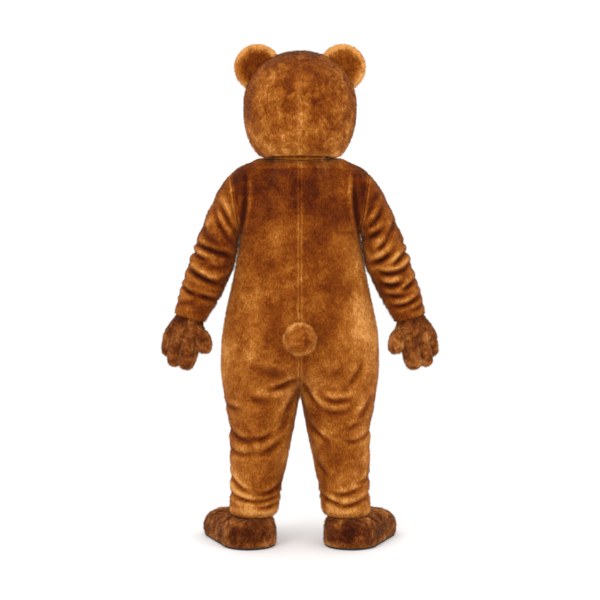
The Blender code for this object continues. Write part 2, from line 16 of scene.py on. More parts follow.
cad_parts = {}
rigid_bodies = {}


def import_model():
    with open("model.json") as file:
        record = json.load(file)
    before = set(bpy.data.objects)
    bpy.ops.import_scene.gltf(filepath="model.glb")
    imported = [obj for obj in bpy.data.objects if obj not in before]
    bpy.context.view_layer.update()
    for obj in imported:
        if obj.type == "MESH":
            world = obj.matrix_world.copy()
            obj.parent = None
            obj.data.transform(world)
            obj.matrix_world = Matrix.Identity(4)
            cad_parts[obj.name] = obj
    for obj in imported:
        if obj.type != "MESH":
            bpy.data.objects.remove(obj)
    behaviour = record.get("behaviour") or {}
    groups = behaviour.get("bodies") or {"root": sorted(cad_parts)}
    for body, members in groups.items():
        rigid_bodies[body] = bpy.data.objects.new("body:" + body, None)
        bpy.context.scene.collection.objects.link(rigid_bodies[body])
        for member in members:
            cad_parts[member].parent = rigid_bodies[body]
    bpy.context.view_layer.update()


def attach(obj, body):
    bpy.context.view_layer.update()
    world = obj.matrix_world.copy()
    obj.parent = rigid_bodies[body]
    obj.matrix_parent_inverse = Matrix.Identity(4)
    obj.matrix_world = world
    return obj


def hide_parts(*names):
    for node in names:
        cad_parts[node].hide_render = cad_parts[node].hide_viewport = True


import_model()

# ------------------------------------------------------------------------------------------------
# The suit's front and back panels. Four long pieces of short golden-brown plush, each cut in one
# from trouser hem to shoulder, sewn at the centre, sides, inseams and shoulders, right sides out.

HELD = 1.450  # height of the neck base above the soles
CLOTH = 0.003  # plush on its knitted backing
SEAM = 0.00003  # gap between two panels at a seam, almost closed by the pile
HEM = 0.118
CROTCH = 0.589
FORK_TOP = 0.700  # below this the trunk's section turns into the two legs'
UNDERARM = 1.184
TRUNK_WIDTH = [(0.589, 0.289), (0.650, 0.297), (0.720, 0.298), (0.812, 0.291), (0.903, 0.275),
               (1.000, 0.254), (1.100, 0.236), (1.184, 0.226)]
TRUNK_BACK = [(0.589, 0.165), (0.660, 0.183), (0.740, 0.188), (0.850, 0.172), (1.000, 0.150), (1.184, 0.140)]
TRUNK_FRONT = [(0.589, 0.150), (0.660, 0.190), (0.760, 0.222), (0.880, 0.230), (1.000, 0.208), (1.184, 0.158)]
TRUNK_SQUARE = 0.90
LEG_OUTER = [(0.114, 0.262), (0.150, 0.266), (0.220, 0.263), (0.310, 0.264), (0.446, 0.266),
             (0.515, 0.277), (0.589, 0.289)]
LEG_INNER = [(0.114, 0.093), (0.150, 0.083), (0.220, 0.072), (0.310, 0.053), (0.400, 0.035),
             (0.492, 0.018), (0.540, 0.010), (0.589, 0.0)]
LEG_BACK = [(0.114, 0.088), (0.200, 0.094), (0.310, 0.107), (0.440, 0.130), (0.520, 0.146), (0.589, 0.157)]
LEG_FRONT = [(0.114, 0.088), (0.200, 0.096), (0.310, 0.108), (0.440, 0.128), (0.520, 0.138), (0.589, 0.145)]
HEM_TILT = -0.07  # the hem rises towards the instep
HEM_TILT_ENDS = 0.08  # above the hem
NECK_RADIUS = 0.095
NECK_BACK = 1.449
NECK_SIDE = 1.458
NECK_FRONT = 1.436
NECK_SHARE = 3 / 7  # the share of a panel's top edge that is neckline, the rest being shoulder seam
SHOULDER_RIDGE = [(0.0, (0.095, 1.458)), (0.30, (0.150, 1.461)), (0.52, (0.190, 1.449)),
                  (0.78, (0.236, 1.427)), (1.0, (0.262, 1.402))]
ARMHOLE_DEPTH = 0.092
# How the yoke's lines run: their climb from the trunk, their reach at the top edge and their dip at the neck
YOKE_CLIMB = 0.100
YOKE_REACH = 0.050
YOKE_DIP = 0.45
SIDES = (("left", 1), ("right", -1))

# How finely the cloth is divided: each division is about 6 mm
LEG_ROWS = 80
TRUNK_ROWS = 98
YOKE_ROWS = 48
COLUMNS = 63


def through(knots, at):
    """The values at places on a smooth curve through (place, value) knots."""
    places = np.array([place for place, _ in knots], float)
    values = np.array([value for _, value in knots], float)
    last = len(knots) - 1
    before, after = np.maximum(np.arange(last + 1) - 1, 0), np.minimum(np.arange(last + 1) + 1, last)
    gaps = places[after] - places[before]
    slopes = (values[after] - values[before]) / gaps.reshape(-1, *[1] * (values.ndim - 1))
    at = np.clip(np.asarray(at, float), places[0], places[-1])
    i = np.clip(np.searchsorted(places, at, side="right") - 1, 0, last - 1)
    span = places[i + 1] - places[i]
    t = (at - places[i]) / span
    if values.ndim > 1:
        t, span = t[..., None], span[..., None]
    return (
        values[i] * (2 * t**3 - 3 * t**2 + 1)
        + slopes[i] * span * (t**3 - 2 * t**2 + t)
        + values[i + 1] * (3 * t**2 - 2 * t**3)
        + slopes[i + 1] * span * (t**3 - t**2)
    )


def bezier(a, b, c, d, t):
    return a * (1 - t) ** 3 + b * 3 * t * (1 - t) ** 2 + c * 3 * t**2 * (1 - t) + d * t**3


def smooth_step(low, high, at):
    t = np.clip((at - low) / (high - low), 0, 1)
    return t * t * (3 - 2 * t)


def trunk(height, share, way):
    """Points of the trunk; share runs from centre seam (0) to side (1), way is 1 behind and -1 before."""
    angle = share * math.pi / 2
    depth = through(TRUNK_BACK if way > 0 else TRUNK_FRONT, height)
    x = through(TRUNK_WIDTH, height) * np.sin(angle) ** TRUNK_SQUARE
    return np.stack([x, way * depth * np.cos(angle) ** TRUNK_SQUARE, height + 0 * x], -1)


def leg(height, share, way):
    """Points of a leg: share runs from the inseam (0) to the side (1)."""
    angle = share * math.pi
    outer = np.where(height < CROTCH, through(LEG_OUTER, height), through(TRUNK_WIDTH, height))
    inner = through(LEG_INNER, height)
    x = (outer + inner) / 2 - (outer - inner) / 2 * np.cos(angle)
    y = way * through(LEG_BACK if way > 0 else LEG_FRONT, height) * np.sin(angle)
    return np.stack([x, y, height + HEM_TILT * y * np.maximum(0, 1 - (height - HEM) / HEM_TILT_ENDS)], -1)


def below_arm(height, share, way):
    fork = np.clip((FORK_TOP - height) / (FORK_TOP - CROTCH), 0, 1)[..., None] ** 2
    return trunk(height, share, way) * (1 - fork) + leg(height, share, way) * fork


def top_edge(share, way):
    """The neckline, then the shoulder seam out to the shoulder point."""
    angle = np.minimum(share / NECK_SHARE, 1) * math.pi / 2
    low = NECK_BACK if way > 0 else NECK_FRONT
    neck = np.stack([NECK_RADIUS * np.sin(angle), way * NECK_RADIUS * np.cos(angle),
                     low + (NECK_SIDE - low) * np.sin(angle) ** 2], -1)
    ridge = through(SHOULDER_RIDGE, (share - NECK_SHARE) / (1 - NECK_SHARE))
    ridge = np.stack([ridge[..., 0], 0 * share, ridge[..., 1]], -1)
    return np.where((share < NECK_SHARE)[..., None], neck, ridge)


def yoke(rise, share, way):
    """Above the underarm: each line leaves the trunk upwards and meets the top edge from its own side."""
    rise, share = (x[..., None] for x in np.broadcast_arrays(rise, share))
    start = below_arm(np.full(share.shape[:-1], UNDERARM), share[..., 0], way)
    end = top_edge(share[..., 0], way)
    bulge = ARMHOLE_DEPTH * 4 / 3
    side = share**3
    leave = start + np.array([0, 0, YOKE_CLIMB]) * (1 - side) + np.array([0, way * bulge, 0]) * side
    reach = YOKE_REACH + (bulge - YOKE_REACH) * share
    meet = end + np.concatenate([0 * reach, way * reach, -YOKE_DIP * reach * (1 - share)], -1)
    return bezier(start, leave, meet, end, rise)


MARKS = ("fold", "seam", "tone", "crush", "pile")
HOLLOW_SHADE = 1.6  # how much darker a hollow of the form is painted than a crease, a painted shade
HOLLOW_RANGE = (-0.001, 0.003)  # a hollow counts no shallower and no deeper than this


class Sewing:
    """Grids of points that meet edge to edge, each face marked with the panel it belongs to."""

    def __init__(self):
        self.mesh = bmesh.new()
        self.names = []
        self.tag = self.mesh.faces.layers.int.new("panel")

    def add(self, name, grid, side=1):
        if name not in self.names:
            self.names.append(name)
        drop = np.array([0, 0, HELD])
        made = [[self.mesh.verts.new(point * (side, 1, 1) - drop) for point in row] for row in grid]
        for low, high in zip(made, made[1:]):
            for i in range(len(low) - 1):
                face = self.mesh.faces.new((low[i], low[i + 1], high[i + 1], high[i]))
                face[self.tag] = self.names.index(name)

    def sew(self):
        """Joins the grids, drops the faces that shrank to nothing and turns every face outwards."""
        bmesh.ops.remove_doubles(self.mesh, verts=self.mesh.verts, dist=1e-5)
        bmesh.ops.dissolve_degenerate(self.mesh, edges=self.mesh.edges, dist=1e-6)
        bmesh.ops.recalc_face_normals(self.mesh, faces=self.mesh.faces)
        self.face_out()

    def face_out(self):
        centre = sum((v.co for v in self.mesh.verts), Vector()) / len(self.mesh.verts)
        outward = sum(f.normal.dot(f.calc_center_median() - centre) * f.calc_area() for f in self.mesh.faces)
        if outward < 0:
            bmesh.ops.reverse_faces(self.mesh, faces=self.mesh.faces)
        self.mesh.normal_update()
        self.mesh.verts.index_update()

    def ease(self, chosen, times):
        """Lets the cloth settle into a softer form at the chosen points."""
        for _ in range(times):
            bmesh.ops.smooth_vert(self.mesh, verts=chosen, factor=0.5,
                                  use_axis_x=True, use_axis_y=True, use_axis_z=True)
        self.mesh.normal_update()

    def press(self, folds, trough, reach):
        """Moves the cloth along its normals by the folds, and down into a trough at each seam."""
        points = np.array([v.co for v in self.mesh.verts])
        normals = np.array([v.normal for v in self.mesh.verts])
        panels = np.array([v.link_faces[0][self.tag] for v in self.mesh.verts])
        seams = [v.co for v in self.mesh.verts if len({f[self.tag] for f in v.link_faces}) > 1]
        tree = KDTree(len(seams))
        for i, place in enumerate(seams):
            tree.insert(place, i)
        tree.balance()
        gap = np.array([tree.find(v.co)[2] for v in self.mesh.verts])
        rise = folds(points, normals, panels, gap)
        # the fold mark: a painted highlight on ridges, a painted shade in creases and deeper in hollows
        self.fold = rise - HOLLOW_SHADE * self.hollows(reach)
        self.seam = np.exp(-((gap / reach) ** 2))
        for v, step in zip(self.mesh.verts, rise - trough * self.seam):
            v.co += v.normal * step
        self.mesh.normal_update()

    def hollows(self, size):
        """How deep each point lies below the level of its neighbourhood, as between two fingers, from 0."""
        points = np.array([v.co for v in self.mesh.verts])
        normals = np.array([v.normal for v in self.mesh.verts])
        ends = np.array([[v.index for v in edge.verts] for edge in self.mesh.edges])
        around = np.bincount(ends.ravel(), minlength=len(points))[:, None]
        spacing = np.linalg.norm(points[ends[:, 0]] - points[ends[:, 1]], axis=1).mean()
        level = points
        for _ in range(round((2 * size / spacing) ** 2) + 4):
            total = np.zeros_like(points)
            np.add.at(total, ends[:, 0], level[ends[:, 1]])
            np.add.at(total, ends[:, 1], level[ends[:, 0]])
            level = (level + total / around) / 2
        return np.clip(((level - points) * normals).sum(1), *HOLLOW_RANGE)

    def panel(self, name, wall):
        """The named panel as a closed shell: its points, faces, folds and seams."""
        wanted = self.names.index(name)
        faces = [f for f in self.mesh.faces if f[self.tag] == wanted]
        inset, rim, order = {}, [], {}
        for face in faces:
            for loop in face.loops:
                order.setdefault(loop.vert, len(order))
                if sum(f[self.tag] == wanted for f in loop.edge.link_faces) == 1:
                    a, b = loop.vert, loop.link_loop_next.vert
                    rim.append((a, b))
                    inward = face.normal.cross(b.co - a.co).normalized()
                    for v in (a, b):
                        inset.setdefault(v, []).append(inward)
        outer, inner = [], []
        for v in order:
            drawn = Vector()
            if v in inset:
                total = sum(inset[v], Vector())
                drawn = total / max(total.length_squared / len(inset[v]), 0.5) * SEAM / 2
            outer.append(v.co + drawn)
            inner.append(v.co + drawn - v.normal * wall)
        count = len(order)
        closed = [[order[v] for v in face.verts] for face in faces]
        closed += [[order[v] + count for v in reversed(face.verts)] for face in faces]
        closed += [[order[b], order[a], order[a] + count, order[b] + count] for a, b in rim]
        used = [v.index for v in order]
        marks = {"fold": np.tile(self.fold[used], 2), "seam": np.tile(self.seam[used], 2),
                 "pile": np.repeat([1.0, 0.0], count)}
        return np.array(outer + inner), closed, marks


def add_piece(name, points, faces, look, **marks):
    """A smooth mesh object. Each point may be marked with how far it is folded out, which is painted as
    shade and highlight (fold), how near a seam it is (seam), how much paler or darker it is, its own
    tone with painted light and shade (tone), how crushed it is (crush) and if pile grows (pile)."""
    mesh = bpy.data.meshes.new(name)
    mesh.from_pydata([tuple(p) for p in points], [], faces)
    mesh.shade_smooth()
    mesh.materials.append(look)
    for mark in MARKS:
        layer = mesh.attributes.new(mark, "FLOAT", "POINT")
        layer.data.foreach_set("value", np.zeros(len(points)) + marks.get(mark, 0))
    made = bpy.data.objects.new(name, mesh)
    bpy.context.scene.collection.objects.link(made)
    return made


CREASE_STEPS = 24
ROLL = 0.55  # the cloth that a crease pushes up above it, as a share of its depth
ROLL_BELOW = 0.6  # as a share of the roll above
ROLL_AT = 2.0  # from the crease, in its widths
ROLL_WIDTH = 1.3


def crease(points, row):
    """How far one crease moves each point: a trough along a line drawn on the back or the front, and the
    cloth that it pushes up, more above it than below. In mm: x and height of three places, width, depth."""
    row = np.array(row) / 1000
    start, middle, end = row[:6].reshape(3, 2) - (0, HELD)
    width, depth = row[6:]
    handle = 2 * middle - (start + end) / 2
    t = np.linspace(0, 1, CREASE_STEPS)[:, None]
    path = start * (1 - t) ** 2 + handle * 2 * t * (1 - t) + end * t**2
    along = np.gradient(path, axis=0)
    along /= np.linalg.norm(along, axis=1)[:, None]
    flat = points[:, [0, 2]]
    moved = np.zeros(len(points))
    margin = 5 * width
    near = ((flat > path.min(0) - margin) & (flat < path.max(0) + margin)).all(1)
    away = flat[near][:, None] - path[None]
    nearest = (away**2).sum(2).argmin(1)
    offset = away[np.arange(len(nearest)), nearest]
    along = along[nearest]
    past = (offset * along).sum(1)
    above = along[:, 0] * offset[:, 1] - along[:, 1] * offset[:, 0]
    above = above * np.where(along[:, 0] < 0, -1, 1) / width
    ease = np.sin(math.pi * (0.08 + 0.84 * t[nearest, 0])) ** 0.8 * np.exp(-((past / width) ** 2))
    shape = ROLL * np.exp(-(((above - ROLL_AT) / ROLL_WIDTH) ** 2))
    shape += ROLL_BELOW * ROLL * np.exp(-(((above + ROLL_AT) / ROLL_WIDTH) ** 2))
    moved[near] = depth * ease * (shape - np.exp(-(above**2)))
    return moved


def creases(points, rows, side, way):
    """All the creases of a list, on the side's back (way 1) or front (-1)."""
    facing = smooth_step(-0.05, 0.0, points[:, 1] * way)
    turned = points * (side, 1, 1)
    return facing * sum(crease(turned, row) for row in rows)


def lumps(points, size):
    """Smooth random rises and dips, about -1 to 1, with the given size."""
    return np.array([noise.noise(Vector(point) / size) for point in points])


def uneven(points, layers, start=0):
    """Plush that lies uneven: (depth, size) layers of lumps, added to what is there already."""
    return sum((depth * lumps(points, size) for depth, size in layers), start)


# The creases, in mm. Those of the left leg's back first: under the seat, up into the crotch, down the
# inseam, round the knee and round the ankle. The front has the same ones, changed over left and right.
LEFT_LEG = [
    (200, 690, 135, 672, 70, 652, 20, 5),
    (112, 600, 60, 618, 4, 640, 10, 10),
    (200, 585, 150, 562, 95, 562, 18, 6),
    (10, 595, 40, 536, 82, 463, 11, 7),
    (30, 520, 58, 472, 85, 430, 9, 6),
    (285, 540, 255, 530, 225, 528, 10, 6),
    (272, 455, 225, 415, 172, 412, 10, 8.5),
    (175, 420, 145, 416, 100, 442, 9, 8),
    (150, 360, 115, 373, 65, 412, 10, 7),
    (270, 372, 220, 354, 165, 362, 10, 6),
    (268, 268, 232, 232, 190, 212, 9, 9),
    (150, 203, 108, 210, 70, 240, 9, 9),
    (268, 204, 216, 182, 150, 174, 8, 10),
    (160, 176, 120, 180, 76, 196, 8, 7),
    (156, 150, 122, 152, 80, 168, 7, 7),
]
RIGHT_LEG = [
    (66, 676, 114, 662, 170, 672, 20, 5),
    (232, 710, 212, 660, 160, 600, 12, 6.5),
    (8, 628, 38, 574, 74, 528, 10, 8.5),
    (78, 585, 123, 559, 190, 568, 10, 8.5),
    (264, 575, 248, 530, 222, 495, 11, 5.5),
    (94, 525, 132, 516, 178, 524, 11, 5.5),
    (30, 476, 72, 430, 108, 404, 9, 7.5),
    (182, 452, 200, 462, 226, 476, 10, 6),
    (176, 410, 210, 406, 266, 434, 9, 8),
    (60, 340, 80, 298, 104, 276, 9, 5),
    (124, 208, 170, 203, 232, 226, 9, 9),
    (262, 262, 240, 250, 214, 246, 8, 5),
    (76, 198, 114, 175, 156, 165, 8, 9),
    (150, 158, 196, 163, 266, 192, 8, 9),
]
# Where the back hangs from the shoulder blade, beside the armhole
SHOULDER_DRAPE = [(203, 1392, 205, 1290, 221, 1186, 9, 9)]

suit = Sewing()
shares = np.linspace(0, 1, COLUMNS + 1)[None, :]
heights = np.concatenate([np.linspace(HEM, CROTCH, LEG_ROWS + 1),
                          np.linspace(CROTCH, UNDERARM, TRUNK_ROWS + 1)[1:]])
rises = np.linspace(0, 1, YOKE_ROWS + 1)[1:]
for side, sign in SIDES:
    for half, way in (("back", 1), ("front", -1)):
        low = below_arm(heights[:, None] + 0 * shares, shares + 0 * heights[:, None], way)
        high = yoke(rises[:, None], shares, way)
        suit.add(f"{half}_{side}", np.concatenate([low, high]), sign)

# ------------------------------------------------------------------------------------------------
# The sleeves. One piece of the same plush each, a tapering tube set into the armhole. They are cut
# long, so the cloth bunches into folds from the elbow down to the cuff.

# (share of the length, outer edge (x, height), inner edge, half depth)
SLEEVE = [(0.00, (0.262, 1.402), (0.226, 1.184), 0.092), (0.10, (0.301, 1.350), (0.234, 1.158), 0.095),
          (0.22, (0.333, 1.288), (0.237, 1.124), 0.095), (0.36, (0.363, 1.221), (0.243, 1.084), 0.092),
          (0.50, (0.390, 1.149), (0.254, 1.042), 0.088), (0.64, (0.416, 1.074), (0.276, 0.999), 0.083),
          (0.78, (0.440, 1.004), (0.300, 0.948), 0.077), (0.90, (0.460, 0.939), (0.328, 0.900), 0.069),
          (1.00, (0.474, 0.879), (0.361, 0.847), 0.059)]
SLEEVE_ROWS = 124
LEFT_ARM = [
    (405, 1150, 330, 1118, 236, 1090, 10, 12),
    (420, 1135, 385, 1100, 340, 1080, 9, 10),
    (432, 1062, 370, 1018, 300, 990, 10, 12),
    (455, 995, 425, 968, 395, 955, 8, 9),
    (385, 950, 343, 938, 300, 926, 9, 10),
    (300, 1010, 275, 1018, 248, 1046, 8, 8),
    (300, 1300, 280, 1250, 238, 1178, 10, 8),
    (318, 1270, 292, 1200, 246, 1142, 10, 7.5),
    (370, 1200, 335, 1158, 290, 1135, 12, 6),
    (400, 1090, 340, 1058, 276, 1048, 11, 5),
    (470, 930, 440, 920, 400, 925, 9, 5),
    (380, 1235, 362, 1205, 345, 1190, 11, 5),
    (330, 1330, 318, 1290, 300, 1255, 14, 4.5),
]
RIGHT_ARM = [
    (236, 1162, 268, 1172, 310, 1198, 10, 9),
    (285, 1115, 305, 1132, 330, 1160, 9, 8),
    (254, 1068, 300, 1080, 345, 1112, 10, 11),
    (322, 1165, 342, 1195, 360, 1235, 10, 6.5),
    (348, 1062, 375, 1088, 410, 1122, 9, 10),
    (292, 1036, 336, 1030, 390, 1046, 9, 11),
    (380, 1038, 402, 1060, 428, 1082, 8, 7),
    (300, 996, 342, 985, 386, 1002, 9, 11),
    (378, 968, 408, 985, 448, 1026, 9, 10),
    (320, 950, 362, 945, 400, 952, 9, 9),
    (350, 908, 408, 918, 462, 962, 9, 10),
    (405, 892, 440, 902, 470, 925, 8, 6),
    (238, 1246, 252, 1262, 268, 1285, 10, 6.5),
    (250, 1202, 283, 1230, 312, 1285, 10, 7),
    (262, 1300, 285, 1318, 300, 1345, 12, 4.5),
]


def sleeve(length, turn):
    """Points of the sleeve: turn runs 0 to 1 up the back from the underarm and 1 to 2 down the front."""
    outer, inner, depth = (through([(knot[0], knot[i]) for knot in SLEEVE], length) for i in (1, 2, 3))
    angle = turn * math.pi
    cos, sin = np.cos(angle), np.sin(angle)
    middle, reach = (outer + inner) / 2, (outer - inner) / 2
    level = middle - reach * cos[..., None]
    ideal = np.stack([level[..., 0], depth * sin, level[..., 1]], -1)
    hole = np.where((turn <= 1)[..., None], yoke(np.clip(turn, 0, 1), 1 + 0 * turn, 1),
                    yoke(np.clip(2 - turn, 0, 1), 1 + 0 * turn, -1))
    round_hole = np.stack([0.244 - 0.018 * cos, ARMHOLE_DEPTH * sin, 1.293 - 0.109 * cos], -1)
    fade = np.clip(1 - length / 0.3, 0, 1)[..., None] ** 2
    return ideal + (hole - round_hole) * fade


lengths = np.linspace(0, 1, SLEEVE_ROWS + 1)[:, None]
turns = np.linspace(0, 2, 2 * YOKE_ROWS + 1)[None, :]
for side, sign in SIDES:
    suit.add(f"sleeve_{side}", sleeve(lengths + 0 * turns, turns + 0 * lengths), sign)

# ------------------------------------------------------------------------------------------------
# The neck band. A short strip of the same plush, sewn upright round the neckline; the head sits over it.

COLLAR_RISE = 0.045
NECK_COLUMNS = round(COLUMNS * NECK_SHARE)
BAND_ROWS = 9
for side, sign in SIDES:
    for way in (1, -1):
        edge = top_edge(np.linspace(0, NECK_SHARE, NECK_COLUMNS + 1) - 1e-9, way)
        edge[-1] = (NECK_RADIUS, 0, NECK_SIDE)
        top = edge * (0.96, 0.96, 0) + (0, 0, NECK_SIDE + COLLAR_RISE)
        up = np.linspace(0, 1, BAND_ROWS + 1)[:, None, None]
        suit.add("neck_band", edge * (1 - up) + top * up, sign)

# ------------------------------------------------------------------------------------------------
# The sewn suit. Every seam is drawn down into the pile, the creases go in one by one, and the plush
# lies a little uneven between them. Then it is taken apart into its panels again, each a shell.


def linear(shade):
    """An sRGB hex shade as linear red, green and blue, with alpha."""
    values = [int(shade[i:i + 2], 16) / 255 for i in (1, 3, 5)]
    return [v / 12.92 if v <= 0.04045 else ((v + 0.055) / 1.055) ** 2.4 for v in values] + [1]


def add_node(tree, kind, inputs=None, out=0, **settings):
    """Adds a node with its settings and its inputs, each a value or another node's output, and gives one
    of its own outputs."""
    made = tree.nodes.new(kind)
    for name, value in settings.items():
        setattr(made, name, value)
    for socket, value in (inputs or {}).items():
        if isinstance(value, bpy.types.NodeSocket):
            tree.links.new(value, made.inputs[socket])
        else:
            made.inputs[socket].default_value = value
    return made.outputs[out]


def start_finish(name):
    """A new material, its tree and shader, and the place of each point on the object."""
    made = bpy.data.materials.new(name)
    made.use_nodes = True
    tree = made.node_tree
    return made, tree, tree.nodes["Principled BSDF"], add_node(tree, "ShaderNodeTexCoord", out="Object")


def shade_by(factor, shades, shader):
    """Gives the shader its colour: shades in even steps, from the darkest at 0 to the palest at 1."""
    tree = shader.id_data
    colour = add_node(tree, "ShaderNodeValToRGB", {"Fac": factor})
    steps = colour.node.color_ramp.elements
    steps[0].color, steps[1].color = linear(shades[0]), linear(shades[-1])
    for i, shade in enumerate(shades[1:-1], 1):
        steps.new(i / (len(shades) - 1)).color = linear(shade)
    tree.links.new(colour, shader.inputs["Base Color"])


def set_evenly(shader, values):
    """Sets what is the same all over the surface."""
    for socket, value in values.items():
        shader.inputs[socket].default_value = value


MOTTLE = 0.034  # across a tuft that is crushed together
GRAIN = 0.0050  # of the fur; the real one is finer, but wouldn't show
FIBRE = 0.0022


def plush(name, shades, patch):
    """Short pile plush that has been brushed by hand and by wear. The nap lies one way in some patches
    and another way next to them, so the eye sees soft clouds of light and dark and a fine furry grain in
    them. Light and shade are painted in as well: a painted highlight on ridges, on rims and beside seams,
    and a painted shade, deep brown, in folds and hollows."""
    made, tree, shader, place = start_finish(name)
    brushed = add_node(tree, "ShaderNodeMapping", {"Vector": place, "Scale": (1, 1, 0.75)})
    combed = add_node(tree, "ShaderNodeMapping", {"Vector": place, "Scale": (1, 1, 0.5)})
    clouds = add_node(tree, "ShaderNodeTexNoise", {"Vector": brushed, "Scale": 1 / patch, "Detail": 2.5,
                                                   "Roughness": 0.55, "Distortion": 0.4})
    mottles = add_node(tree, "ShaderNodeTexNoise", {"Vector": place, "Scale": 1 / MOTTLE, "Detail": 4.0,
                                                    "Roughness": 0.62, "Distortion": 0.6})
    grain = add_node(tree, "ShaderNodeTexNoise", {"Vector": combed, "Scale": 1 / GRAIN, "Detail": 2.0,
                                                  "Roughness": 0.6})
    fold, seam, tone, crush = (add_node(tree, "ShaderNodeAttribute", out="Fac", attribute_name=mark)
                               for mark in ("fold", "seam", "tone", "crush"))
    mottling = add_node(tree, "ShaderNodeMath", {0: crush, 1: 0.90, 2: 0.40}, operation="MULTIPLY_ADD")
    # the shade: 0 is the darkest and 1 the palest; 0.5 is the cloth as it is dyed
    shade = 0.5
    # the fold mark paints shade into creases and a highlight onto ridges; the tone mark holds the cloth's own
    # tones and painted light and shade
    for source, share, middle in ((clouds, 1.0, 0.5), (mottles, mottling, 0.5), (grain, 0.7, 0.5),
                                  (fold, 46.0, 0.0), (tone, 1.0, 0.0)):
        part = add_node(tree, "ShaderNodeMath", {0: source, 1: middle}, operation="SUBTRACT")
        shade = add_node(tree, "ShaderNodeMath", {0: part, 1: share, 2: shade}, operation="MULTIPLY_ADD")
    # beside a seam a painted highlight, the sheen on the pile's edges, and in the seam itself the pile parts
    seam_highlight = add_node(tree, "ShaderNodeMapRange", {"Value": seam, "From Min": 0.05, "From Max": 0.45,
                                                   "To Min": 0.0, "To Max": 0.22})
    parted = add_node(tree, "ShaderNodeMapRange", {"Value": seam, "From Min": 0.80, "From Max": 1.0,
                                                   "To Min": 0.0, "To Max": 0.34})
    shade = add_node(tree, "ShaderNodeMath", {0: shade, 1: seam_highlight}, operation="ADD")
    shade = add_node(tree, "ShaderNodeMath", {0: shade, 1: parted}, operation="SUBTRACT")
    shade_by(shade, shades, shader)
    pile = add_node(tree, "ShaderNodeTexNoise", {"Vector": combed, "Scale": 1 / FIBRE, "Detail": 3.0,
                                                 "Roughness": 0.7})
    tufts = add_node(tree, "ShaderNodeBump", {"Height": mottles, "Strength": 0.35, "Distance": 0.008})
    fur = add_node(tree, "ShaderNodeBump",
                   {"Height": pile, "Strength": 0.6, "Distance": 0.0025, "Normal": tufts})
    tree.links.new(fur, shader.inputs["Normal"])
    set_evenly(shader, {"Roughness": 0.85, "Specular IOR Level": 0.10, "Sheen Weight": 0.30,
                        "Sheen Roughness": 0.42, "Sheen Tint": linear("#FFC080")})
    return made


brown_plush = plush("brushed golden-brown plush",
                    ["#3E0E00", "#5E2200", "#813D04", "#A8621E", "#DA9A52"], 0.150)


SLEEVE_DEEPER = 1.2  # the sleeves' creases, against what their lists say
HEM_ROLL_AT = 0.134  # where the turned-up hem is thickest
HEM_ROLL_REACH = 0.014
HEM_ROLL = 0.004
SHOULDERS_FILL = 0.0050


def suit_folds(points, normals, panels, gap):
    """The creases of trunk, legs and sleeves, and the plush's own unevenness."""
    rise = uneven(points, [(0.0022, 0.11), (0.0013, 0.035), (0.0007, 0.014)])
    on_sleeve = np.char.startswith(np.array(suit.names)[panels], "sleeve")
    clear = smooth_step(0.0, 0.025, gap)
    for side, sign in SIDES:
        here = points[:, 0] * sign > -0.01
        body, arm = here & ~on_sleeve, here & on_sleeve
        # a sleeve lies flatter against the trunk and down its outer side
        inward = smooth_step(-0.9, -0.3, normals[arm, 0] * sign)
        outward = smooth_step(0.55, 1.0, normals[arm, 0] * sign)
        held_flat = (0.35 + 0.65 * inward) * (1 - 0.45 * outward)
        for way in (1, -1):
            legs, arms = (LEFT_LEG, LEFT_ARM) if sign * way > 0 else (RIGHT_LEG, RIGHT_ARM)
            rise[body] += creases(points[body], legs + SHOULDER_DRAPE, sign, way)
            rise[arm] += SLEEVE_DEEPER * creases(points[arm], arms, sign, way) * clear[arm] * held_flat
    height = points[:, 2] + HELD
    hem = np.exp(-(((height - HEM_ROLL_AT) / HEM_ROLL_REACH) ** 2)) * ~on_sleeve
    rise += HEM_ROLL * hem * (np.abs(points[:, 0]) < 0.3)
    from_neck = np.hypot(points[:, 0], points[:, 1])
    near_neck = smooth_step(0.21, 0.165, from_neck) * (height > 1.38)
    rise = rise * (1 - near_neck)
    # the shoulders fill out under the head, short of touching it
    fills = smooth_step(0.190, 0.155, from_neck) * smooth_step(1.480, 1.460, height) * (height > 1.42)
    return rise + SHOULDERS_FILL * fills


suit.sew()
# the shoulders are one soft slope from the neck, so only their seams stay where they are
SETTLES_ABOVE = 1.230
SETTLING_STEPS = 70
slope = []
for v in suit.mesh.verts:
    kinds = {suit.names[face[suit.tag]].split("_")[0] for face in v.link_faces}
    if v.co.z > SETTLES_ABOVE - HELD and len(kinds) == 1 and kinds <= {"back", "front"}:
        slope.append(v)
suit.ease(slope, SETTLING_STEPS)
suit.press(suit_folds, trough=0.0016, reach=0.0075)


# painted sheen on the sides, painted shadow beside the armhole and painted highlight on the back's ridge
SIDES_SHEEN = 0.21
ARMHOLE_SHADOW = 0.26
RIDGE_HIGHLIGHT = 0.20


